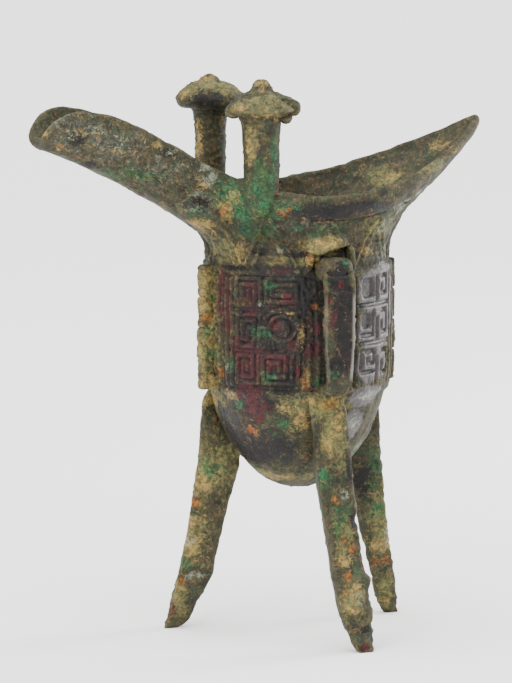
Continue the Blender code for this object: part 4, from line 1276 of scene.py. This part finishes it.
# %% A tree for the old skin
def skin_tree():
    """Uneven swelling, pits and small warts along the surface, less where the metal is smooth."""
    tree, given, output = new_tree("old_cast_skin", (
        ("Swell", "NodeSocketFloat"), ("Swell Size", "NodeSocketFloat"), ("Pit Depth", "NodeSocketFloat"),
        ("Pit Size", "NodeSocketFloat"), ("Wart Height", "NodeSocketFloat"), ("Wart Size", "NodeSocketFloat"),
        ("Seed", "NodeSocketFloat"), ("Material", "NodeSocketMaterial"),
    ))
    position = add_node(tree, "GeometryNodeInputPosition")
    smooth_metal = add_node(tree, "GeometryNodeInputNamedAttribute", Name="smooth_metal")
    eaten = add_node(tree, "GeometryNodeInputNamedAttribute", Name="deeply_eaten")
    rough = add_node(tree, "ShaderNodeMapRange", [
        (0, smooth_metal.outputs["Attribute"]), (1, 0.15), (2, 0.75), (3, 1.0), (4, 0.22),
    ])
    more = add_node(tree, "ShaderNodeMath", [
        (0, eaten.outputs["Attribute"]), (1, 0.9), (2, rough.outputs[0]),
    ], operation="MULTIPLY_ADD")

    def layer(size, height, low, high, shift, detail):
        """Noise of a size in metres, mapped from low..high to 0..1 and scaled to a height."""
        scale = add_node(tree, "ShaderNodeMath", [(0, 1.0), (1, size)], operation="DIVIDE")
        seed = add_node(tree, "ShaderNodeMath", [(0, given["Seed"]), (1, shift)], operation="ADD")
        cloud = add_node(tree, "ShaderNodeTexNoise", [
            ("Vector", position.outputs[0]), ("W", seed.outputs[0]), ("Scale", scale.outputs[0]),
        ], noise_dimensions="4D", Detail=detail)
        ranged = add_node(tree, "ShaderNodeMapRange", [
            (0, cloud.outputs[0]), (1, low), (2, high),
        ], interpolation_type="SMOOTHSTEP")
        scaled = add_node(tree, "ShaderNodeMath", [(0, ranged.outputs[0]), (1, height)], operation="MULTIPLY")
        return scaled.outputs[0]

    swell = layer(given["Swell Size"], given["Swell"], 0.3, 0.7, 0.0, 2.0)
    pits = layer(given["Pit Size"], given["Pit Depth"], 0.52, 0.68, 7.3, 2.0)
    warts = layer(given["Wart Size"], given["Wart Height"], 0.56, 0.74, 15.1, 1.0)
    raised = add_node(tree, "ShaderNodeMath", [(0, swell), (1, warts)], operation="ADD")
    total = add_node(tree, "ShaderNodeMath", [(0, raised.outputs[0]), (1, pits)], operation="SUBTRACT")
    eased = add_node(tree, "ShaderNodeMath", [
        (0, total.outputs[0]), (1, more.outputs[0]),
    ], operation="MULTIPLY")
    normal = add_node(tree, "GeometryNodeInputNormal")
    offset = add_node(tree, "ShaderNodeVectorMath", [
        (0, normal.outputs[0]), ("Scale", eased.outputs[0]),
    ], operation="SCALE")
    moved = add_node(tree, "GeometryNodeSetPosition", [
        ("Geometry", given["Geometry"]), ("Offset", offset.outputs[0]),
    ])
    shaded = add_node(tree, "GeometryNodeSetShadeSmooth", [("Geometry", moved.outputs[0])])
    finish_tree(tree, shaded.outputs[0], given["Material"], output)
    return tree


bronze = bpy.data.materials.new("patinated_cast_bronze")
cup = apply_tree(cup, skin_tree(), {
    "Swell": 0.45 * MILLIMETRE, "Swell Size": 9.0 * MILLIMETRE, "Pit Depth": 0.42 * MILLIMETRE,
    "Pit Size": 2.6 * MILLIMETRE, "Wart Height": 0.30 * MILLIMETRE, "Wart Size": 1.5 * MILLIMETRE,
    "Seed": 4.0, "Material": bronze,
})
print("skinned:", len(cup.data.vertices), "points")


# %% Keep it inside the CAD box
def keep_inside(thing, box):
    """Move points that lie outside the CAD box onto it."""
    flat = np.empty(len(thing.data.vertices) * 3)
    thing.data.vertices.foreach_get("co", flat)
    points = flat.reshape(-1, 3)
    low, high = (np.array(corner) for corner in box)
    inside = np.clip(points, low, high)
    thing.data.vertices.foreach_set("co", inside.ravel())
    thing.data.update()
    return int(np.any(inside != points, axis=1).sum())


print("points moved back into the box:", keep_inside(cup, CAD_BOX))
triangles = sum(len(face.vertices) - 2 for face in cup.data.polygons)
print("cup:", len(cup.data.polygons), "faces,", triangles, "triangles")

# %% [markdown]
# ## Where the patina and the painted shade lie
# Old bronze shows its chemistry: green malachite, maroon cuprite, near-black tin oxide, ochre soil
# and a pale lime crust. Each lies in its own patches, put on the photograph: pixels across
# and down of a middle, then half a width and half a height. The shader breaks their edges up with
# noise. Painting by hand would hide these reasons.

# %% Masks of the patina and of painted shade
PATINA_AND_SHADE = {
    # Near-black patina, with painted shade under the rim's overhang, in the hollow under the head and behind
    # the handle.
    "dark_patina_and_shade": (
        (338, 284, 12, 12), (250, 440, 26, 20), (230, 420, 10, 14), (280, 322, 44, 58),
        (258, 448, 34, 18), (342, 300, 11, 34), (343, 350, 9, 28), (326, 212, 38, 9), (372, 208, 18, 7),
        (242, 395, 22, 24),
    ),
    "olive_field": (
        (208, 300, 9, 34), (208, 350, 9, 34), (216, 398, 12, 22), (318, 406, 34, 12),
        (335, 440, 12, 30), (345, 540, 9, 24), (352, 600, 12, 20), (205, 470, 16, 30),
        (186, 540, 9, 30), (176, 600, 12, 24), (382, 520, 7, 40), (385, 590, 10, 24),
        (225, 250, 15, 16), (322, 245, 26, 12), (205, 88, 24, 8), (262, 106, 30, 12), (252, 140, 7, 26),
        (385, 176, 24, 10), (378, 228, 16, 12), (430, 165, 24, 9), (265, 474, 30, 7), (290, 262, 26, 6),
    ),
    "green_field": (
        (330, 228, 22, 7), (130, 176, 44, 9), (325, 480, 9, 12), (338, 520, 10, 26), (200, 470, 10, 20),
        (374, 470, 6, 30), (356, 575, 8, 14), (274, 150, 6, 26), (240, 205, 24, 26), (270, 212, 26, 16),
        (262, 182, 14, 26), (250, 232, 26, 10),
    ),
    "grey_field": (
        (70, 130, 30, 20), (115, 148, 34, 24), (160, 175, 30, 22), (198, 205, 20, 20), (61, 120, 26, 8),
        (310, 226, 30, 8),
    ),
    "malachite": (
        (210, 330, 5, 7), (214, 300, 4, 5), (228, 190, 12, 14), (240, 214, 15, 12), (262, 205, 13, 16),
        (286, 206, 14, 7), (274, 160, 4, 24), (271, 180, 6, 12), (255, 190, 8, 10), (246, 228, 8, 8),
        (270, 228, 8, 6), (298, 228, 10, 5), (270, 286, 7, 7), (262, 333, 11, 7), (231, 364, 5, 9),
        (268, 376, 10, 7), (284, 424, 8, 7), (322, 476, 10, 8), (312, 236, 8, 4), (346, 262, 6, 4),
        (335, 376, 6, 6), (195, 212, 10, 8), (182, 562, 8, 12), (212, 470, 6, 10), (380, 510, 6, 10),
        (345, 512, 8, 8), (210, 352, 5, 12), (240, 405, 6, 8), (318, 382, 6, 6),
    ),
    "cuprite": (
        (228, 300, 4, 34), (250, 360, 18, 26), (252, 400, 16, 24), (222, 300, 5, 24), (226, 325, 6, 12),
        (224, 278, 4, 10), (238, 352, 8, 22), (245, 372, 8, 10), (250, 395, 9, 18), (258, 415, 8, 10),
        (252, 290, 11, 12), (250, 312, 9, 9), (288, 300, 8, 9), (275, 325, 7, 7), (318, 327, 9, 8),
        (312, 350, 10, 9), (276, 362, 15, 13), (292, 345, 6, 9), (342, 284, 5, 5), (333, 320, 4, 9),
        (300, 372, 6, 8), (280, 270, 8, 4), (262, 352, 10, 6), (365, 648, 6, 5), (172, 608, 4, 8),
        (330, 300, 3, 5),
    ),
    # Black tin oxide on the strap's face, with painted shade in the hollow under the brow, in the gap behind
    # the strap, under the rim and between the strap's foot and the leg.
    "tin_black_and_shade": (
        (338, 256, 9, 5), (340, 270, 10, 6), (332, 274, 5, 4), (343, 262, 6, 4), (342, 318, 9, 34),
        (322, 258, 7, 3), (338, 279, 10, 7), (250, 320, 8, 12), (268, 350, 12, 8), (285, 385, 14, 5),
        (305, 288, 17, 16), (312, 300, 10, 10), (302, 308, 8, 9), (345, 300, 8, 24), (344, 338, 8, 16),
        (342, 268, 9, 9), (338, 365, 10, 12), (254, 452, 26, 13), (232, 432, 8, 12), (280, 445, 14, 12),
        (268, 402, 8, 12), (290, 378, 8, 9), (245, 320, 6, 8), (258, 305, 6, 4), (330, 212, 30, 6),
        (362, 206, 18, 5), (300, 255, 16, 4), (262, 252, 10, 5), (315, 445, 4, 18), (244, 340, 5, 8),
        (351, 469, 6, 16), (353, 520, 5, 12), (168, 152, 8, 6), (75, 140, 10, 6), (90, 165, 16, 4),
        (200, 205, 14, 8), (208, 98, 9, 9), (222, 410, 5, 10), (365, 630, 7, 5), (282, 392, 16, 4),
        (372, 640, 4, 4), (362, 480, 5, 20), (318, 335, 3, 3), (232, 268, 10, 3),
    ),
    "ochre": (
        (302, 334, 3, 14), (288, 313, 9, 2), (310, 258, 6, 10), (306, 250, 5, 5), (210, 380, 8, 10),
        (207, 300, 5, 16), (207, 350, 5, 16), (240, 252, 7, 12), (226, 208, 7, 18), (234, 196, 5, 8),
        (306, 378, 7, 12), (316, 262, 8, 9), (325, 244, 22, 6), (210, 330, 4, 22), (214, 398, 9, 10),
        (322, 403, 20, 7), (300, 420, 9, 14), (338, 425, 7, 12), (328, 445, 6, 12), (196, 480, 9, 14),
        (186, 545, 8, 14), (177, 588, 7, 10), (190, 520, 6, 8), (344, 560, 8, 10), (355, 590, 8, 8),
        (350, 610, 8, 6), (380, 545, 6, 8), (385, 600, 6, 6), (185, 95, 8, 6), (205, 78, 7, 4),
        (240, 108, 9, 5), (268, 116, 12, 3), (250, 150, 4, 20), (199, 140, 3, 24), (262, 84, 7, 4),
        (117, 152, 6, 3), (157, 145, 6, 4), (46, 132, 7, 6), (82, 133, 5, 3), (205, 185, 6, 3),
        (200, 225, 14, 8), (392, 176, 9, 5), (455, 150, 8, 4), (440, 145, 14, 6), (365, 250, 8, 7),
        (262, 92, 5, 5), (60, 148, 5, 4), (205, 280, 4, 12), (232, 395, 6, 6), (286, 408, 10, 6),
        (270, 476, 18, 4),
    ),
    "orange_soil": (
        (243, 302, 9, 3), (316, 306, 6, 5), (205, 318, 4, 5), (336, 500, 5, 6), (345, 540, 6, 6),
        (194, 500, 5, 8), (182, 580, 5, 8), (380, 560, 5, 8), (222, 372, 4, 9), (252, 430, 11, 7),
        (306, 384, 5, 9), (285, 212, 10, 5), (226, 212, 4, 14), (310, 258, 4, 6), (262, 212, 8, 4),
        (348, 575, 7, 6), (352, 548, 6, 5), (182, 561, 6, 10), (60, 147, 4, 3), (330, 406, 10, 4),
        (345, 592, 6, 5),
    ),
    "lime_crust": (
        (388, 226, 11, 11), (402, 206, 8, 9), (418, 193, 6, 6), (384, 250, 5, 9), (345, 495, 4, 6),
        (228, 368, 3, 6), (209, 262, 6, 3), (360, 600, 5, 8), (187, 540, 4, 8), (210, 180, 9, 10),
        (206, 168, 9, 4), (98, 130, 9, 5), (118, 147, 5, 4), (192, 194, 8, 3), (170, 152, 8, 4),
        (70, 138, 5, 4), (352, 425, 8, 14), (356, 448, 6, 10), (387, 536, 3, 18), (194, 575, 6, 5),
        (368, 395, 10, 6), (280, 250, 5, 4), (332, 318, 2, 3), (260, 305, 5, 3),
    ),
}
for name, places in PATINA_AND_SHADE.items():
    print(name, "share:", round(add_mask(cup, name, [patch_seen(*place) for place in places]), 4))

# %% [markdown]
# ## Patinated bronze
# The material starts from cast tin bronze, whose bare metal shows only as a dull gleam. Over it lie
# mineral skins that aren't metallic, so metallic and roughness follow the masks. The noise has the
# sizes of the real patches and pits: 9 mm clouds, 4 mm mottling, 1.3 mm specks and 0.6 mm grain. An
# image texture would be quicker, but wouldn't stay sharp close by.

# %% Colours and warped coordinates
WANDER_SIZE = 3.846
WANDER_REACH = 4.0


def hex_colour(text):
    """sRGB hex value as linear red, green, blue and alpha."""
    parts = [int(text[i:i + 2], 16) / 255 for i in (0, 2, 4)]
    return (*[c / 12.92 if c <= 0.04045 else ((c + 0.055) / 1.055) ** 2.4 for c in parts], 1.0)


bronze.use_nodes = True
tree = bronze.node_tree
shader = tree.nodes["Principled BSDF"]
place = add_node(tree, "ShaderNodeTexCoord").outputs["Object"]
wander = add_node(tree, "ShaderNodeTexNoise", [
    ("Vector", place), ("Scale", 1.0 / (WANDER_SIZE * MILLIMETRE)), ("Detail", 3.0),
])
centred = add_node(tree, "ShaderNodeVectorMath", [
    (0, wander.outputs["Color"]), (1, (0.5, 0.5, 0.5)),
], operation="SUBTRACT")
shift_by = add_node(tree, "ShaderNodeVectorMath", [
    (0, centred.outputs[0]), ("Scale", WANDER_REACH * MILLIMETRE),
], operation="SCALE")
warped = add_node(tree, "ShaderNodeVectorMath", [
    (0, place), (1, shift_by.outputs[0]),
], operation="ADD").outputs[0]
print("sample colour, linear:", [round(c, 3) for c in hex_colour("7A7054")])


# %% Noise, shares and layers
def clouds(shift, *layers):
    """Sum of ragged noises, each a patch size in millimetres, a detail and a weight; shift picks others."""
    total = 0.0
    for number, (size, detail, weight) in enumerate(layers):
        made = add_node(tree, "ShaderNodeTexNoise", [("Vector", warped)], noise_dimensions="4D",
                        W=shift + 0.7 * number, Scale=1.0 / (size * MILLIMETRE), Detail=detail,
                        Roughness=0.62)
        total = add_node(tree, "ShaderNodeMath", [
            (0, made.outputs[0]), (1, weight), (2, total),
        ], operation="MULTIPLY_ADD").outputs[0]
    return total


def ragged(size, shift):
    """Noise of one patch size with a third as fine a noise mixed in, so that edges are stippled."""
    return clouds(shift, (size, 6.0, 0.5), (size / 3.2, 5.0, 0.5))


def share_of(level, low, high, mask=None, pull=0.0):
    """Share of a layer, from 0 to 1: a soft step of a level, which a mask of the points pulls up."""
    if mask:
        pulled = add_node(tree, "ShaderNodeAttribute", attribute_name=mask)
        level = add_node(tree, "ShaderNodeMath", [
            (0, pulled.outputs["Fac"]), (1, pull), (2, level),
        ], operation="MULTIPLY_ADD").outputs[0]
    step = add_node(tree, "ShaderNodeMapRange", [
        (0, level), (1, low), (2, high),
    ], interpolation_type="SMOOTHSTEP")
    return step.outputs[0]


def lay(share, most, below, tone, other_tone=None, mixed_by=None):
    """Cover a colour with a layer by a share, at most so much: in one hex tone, or in two that mingle."""
    above = hex_colour(tone)
    if other_tone:
        above = add_node(tree, "ShaderNodeMix", [
            (0, mixed_by or speck_tones), (6, above), (7, hex_colour(other_tone)),
        ], data_type="RGBA").outputs[2]
    cover = add_node(tree, "ShaderNodeMath", [(0, share), (1, most)], operation="MULTIPLY")
    return add_node(tree, "ShaderNodeMix", [
        (0, cover.outputs[0]), (6, below), (7, above),
    ], data_type="RGBA").outputs[2]


specks = clouds(6.0, (1.3, 6.0, 1.0))
grain = clouds(9.0, (0.6, 2.0, 1.0))
mottle = ragged(4.0, 3.0)
speck_tones = share_of(specks, 0.40, 0.60)
print("noise nodes:", sum(node.type == "TEX_NOISE" for node in tree.nodes))

# %% Ground colours of the patina
colour = lay(share_of(clouds(0.0, (9.0, 5.0, 1.0)), 0.40, 0.60), 1.0, hex_colour("25261C"), "342F22")
colour = lay(share_of(mottle, 0.48, 0.58), 0.8, colour, "3C3B29", "524A32")
colour = lay(share_of(ragged(5.0, 34.0), 0.55, 0.70, "olive_field", 0.22), 0.85, colour, "4A492C", "726C44")
colour = lay(share_of(ragged(5.0, 37.0), 0.58, 0.74, "grey_field", 0.20), 0.8, colour, "2A2F2B", "484C43")
colour = lay(share_of(ragged(5.0, 40.0), 0.58, 0.74, "green_field", 0.22), 0.8, colour, "18351F", "305030")
# Near-black patina and painted shade: under the rim, under the head and behind the handle.
dark_and_shade_share = share_of(ragged(6.0, 43.0), 0.58, 0.76, "dark_patina_and_shade", 0.40)
colour = lay(dark_and_shade_share, 0.92, colour, "0E0B0C", "1E1214")
for size, shift, low, high, most, tone, other_tone in (
    (3.4, 12.0, 0.52, 0.59, 0.65, "16291C", "2E4A34"),
    (3.0, 31.0, 0.53, 0.60, 0.55, "54402C", "786044"),
    (2.6, 50.0, 0.53, 0.60, 0.70, "0E100B", "181711"),
):
    colour = lay(share_of(ragged(size, shift), low, high), most, colour, tone, other_tone)
smooth_share = share_of(ragged(9.0, 46.0), 0.68, 0.84, "smooth_metal", 0.7)
colour = lay(smooth_share, 1.0, colour, "282427", "403939", share_of(mottle, 0.40, 0.60))
print("patina nodes so far:", len(tree.nodes))

# %% Minerals over it; the black layer is partly painted shade
for mask, size, shift, low, high, pull, most, tone, other_tone in (
    ("ochre", 3.0, 53.0, 0.56, 0.68, 0.17, 0.80, "665232", "98844F"),
    # The black layer also paints shade under the brow, behind the strap and under the rim.
    ("tin_black_and_shade", 4.0, 15.0, 0.58, 0.70, 0.24, 0.90, "0B0B0D", "151112"),
    ("cuprite", 3.2, 18.0, 0.57, 0.70, 0.22, 0.85, "2A0E16", "4C1C20"),
    ("orange_soil", 2.6, 21.0, 0.60, 0.72, 0.20, 0.80, "603418", "966032"),
    ("malachite", 2.4, 24.0, 0.57, 0.70, 0.17, 0.85, "12301F", "2E5E3C"),
    ("lime_crust", 2.2, 27.0, 0.60, 0.72, 0.19, 0.80, "585E4E", "8C917E"),
    ("grey_field", 1.8, 56.0, 0.58, 0.66, 0.07, 0.60, "6A5C48", "948672"),
):
    colour = lay(share_of(ragged(size, shift), low, high, mask, pull), most, colour, tone, other_tone)
print("patina nodes so far:", len(tree.nodes))

# %% Dirt in the lines, light metal on the edges, a painted highlight on the strap
zone, raised, local_weight = (add_node(tree, "ShaderNodeAttribute", attribute_name=name).outputs["Fac"]
                        for name in ("ornament_zone", "ornament_raised", "strap_edge_highlight"))
sunk = add_node(tree, "ShaderNodeMath", [(0, zone), (1, raised)], operation="SUBTRACT")
colour = lay(sunk.outputs[0], 0.42, colour, "0C0A0A")
pointed = add_node(tree, "ShaderNodeNewGeometry").outputs["Pointiness"]
light_metal = add_node(tree, "ShaderNodeMath", [
    (0, dark_and_shade_share), (1, -0.3), (2, 0.4),
], operation="MULTIPLY_ADD")
worn_edge = add_node(tree, "ShaderNodeMath", [
    (0, share_of(pointed, 0.53, 0.60)), (1, light_metal.outputs[0]),
], operation="MULTIPLY")
colour = lay(worn_edge.outputs[0], 1.0, colour, "7A7054")
# Painted highlight: the strap's two edges lightened to pale grey, most on the tail's side, where the light
# falls.
colour = lay(local_weight, 0.55, colour, "8A8682")
colour = lay(share_of(pointed, 0.49, 0.43), 0.65, colour, "0A0907")
richer = add_node(tree, "ShaderNodeHueSaturation", [("Color", colour)], Saturation=1.06, Value=0.94)
tree.links.new(richer.outputs[0], shader.inputs["Base Color"])
print("patina nodes so far:", len(tree.nodes))

# %% Gloss, metal and bump
dark_shine = add_node(tree, "ShaderNodeMath", [(0, dark_and_shade_share), (1, 0.7)], operation="MULTIPLY")
shine = add_node(tree, "ShaderNodeMath", [(0, smooth_share), (1, dark_shine.outputs[0])], operation="MAXIMUM")
dullness = add_node(tree, "ShaderNodeMath", [
    (0, shine.outputs[0]), (1, -0.30), (2, 0.41),
], operation="MULTIPLY_ADD")
for socket, share, factor, base in (
    ("Roughness", specks, 0.5, dullness.outputs[0]),
    ("Metallic", smooth_share, 0.35, 0.0),
    ("Specular IOR Level", smooth_share, 0.4, 0.2),
):
    made = add_node(tree, "ShaderNodeMath", [(0, share), (1, factor), (2, base)], operation="MULTIPLY_ADD")
    tree.links.new(made.outputs[0], shader.inputs[socket])
coarse = add_node(tree, "ShaderNodeMath", [(0, specks), (1, 0.6)], operation="MULTIPLY")
bump_height = add_node(tree, "ShaderNodeMath", [
    (0, grain), (1, 0.4), (2, coarse.outputs[0]),
], operation="MULTIPLY_ADD")
bump = add_node(tree, "ShaderNodeBump", [
    ("Height", bump_height.outputs[0]), ("Strength", 0.7), ("Distance", 0.6 * MILLIMETRE),
])
tree.links.new(bump.outputs[0], shader.inputs["Normal"])
print("patina nodes:", len(tree.nodes))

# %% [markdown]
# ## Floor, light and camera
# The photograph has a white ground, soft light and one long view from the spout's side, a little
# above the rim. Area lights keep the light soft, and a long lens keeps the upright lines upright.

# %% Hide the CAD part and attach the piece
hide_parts("bronze_wine_cup")
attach(cup, "root")
print("handed over:", cup.name)

# %% Floor
floor_mesh = bpy.data.meshes.new("studio_floor")
floor_mesh.from_pydata([(-6, -4, 0), (6, -4, 0), (6, 14, 0), (-6, 14, 0)], [], [(0, 1, 2, 3)])
floor = linked("studio_floor", floor_mesh)
paper = bpy.data.materials.new("white_paper")
paper.use_nodes = True
paper.node_tree.nodes["Principled BSDF"].inputs["Base Color"].default_value = hex_colour("FAFAF9")
paper.node_tree.nodes["Principled BSDF"].inputs["Roughness"].default_value = 0.9
floor_mesh.materials.append(paper)
print("floor:", tuple(floor.dimensions))

# %% Light
world = bpy.data.worlds.new("soft_studio")
world.use_nodes = True
world.node_tree.nodes["Background"].inputs["Color"].default_value = hex_colour("FFFFFF")
world.node_tree.nodes["Background"].inputs["Strength"].default_value = 0.7
bpy.context.scene.world = world


def soft_light(name, place, target, size, power):
    """Square area light at a place in metres, turned to a target."""
    light = bpy.data.lights.new(name, "AREA")
    light.size = size
    light.energy = power
    made = linked(name, light)
    made.location = place
    made.rotation_euler = (Vector(target) - Vector(place)).to_track_quat("-Z", "Y").to_euler()


soft_light("left_front", (-1.0, -0.8, 0.7), (0.0, 0.0, 0.1), 0.6, 6.0)
soft_light("right_strip", (0.9, 0.1, 0.35), (0.0, 0.0, 0.1), 0.35, 9.0)
ceiling = bpy.data.lights.new("wide_ceiling_light", "SUN")
ceiling.energy = 6.8
ceiling.angle = math.radians(100.0)
linked("wide_ceiling_light", ceiling).rotation_euler = (math.radians(12.0), math.radians(-14.0), 0.0)
print("lights:", len(bpy.data.lights))

# %% Camera
lens = bpy.data.cameras.new("long_lens")
lens.lens = 229.6
lens.clip_end = 50.0
camera = linked("camera", lens)
camera.matrix_world = Matrix([
    [right[i], up[i], back[i], view_point[i] * MILLIMETRE] for i in range(3)
] + [[0.0, 0.0, 0.0, 1.0]])
bpy.context.scene.camera = camera
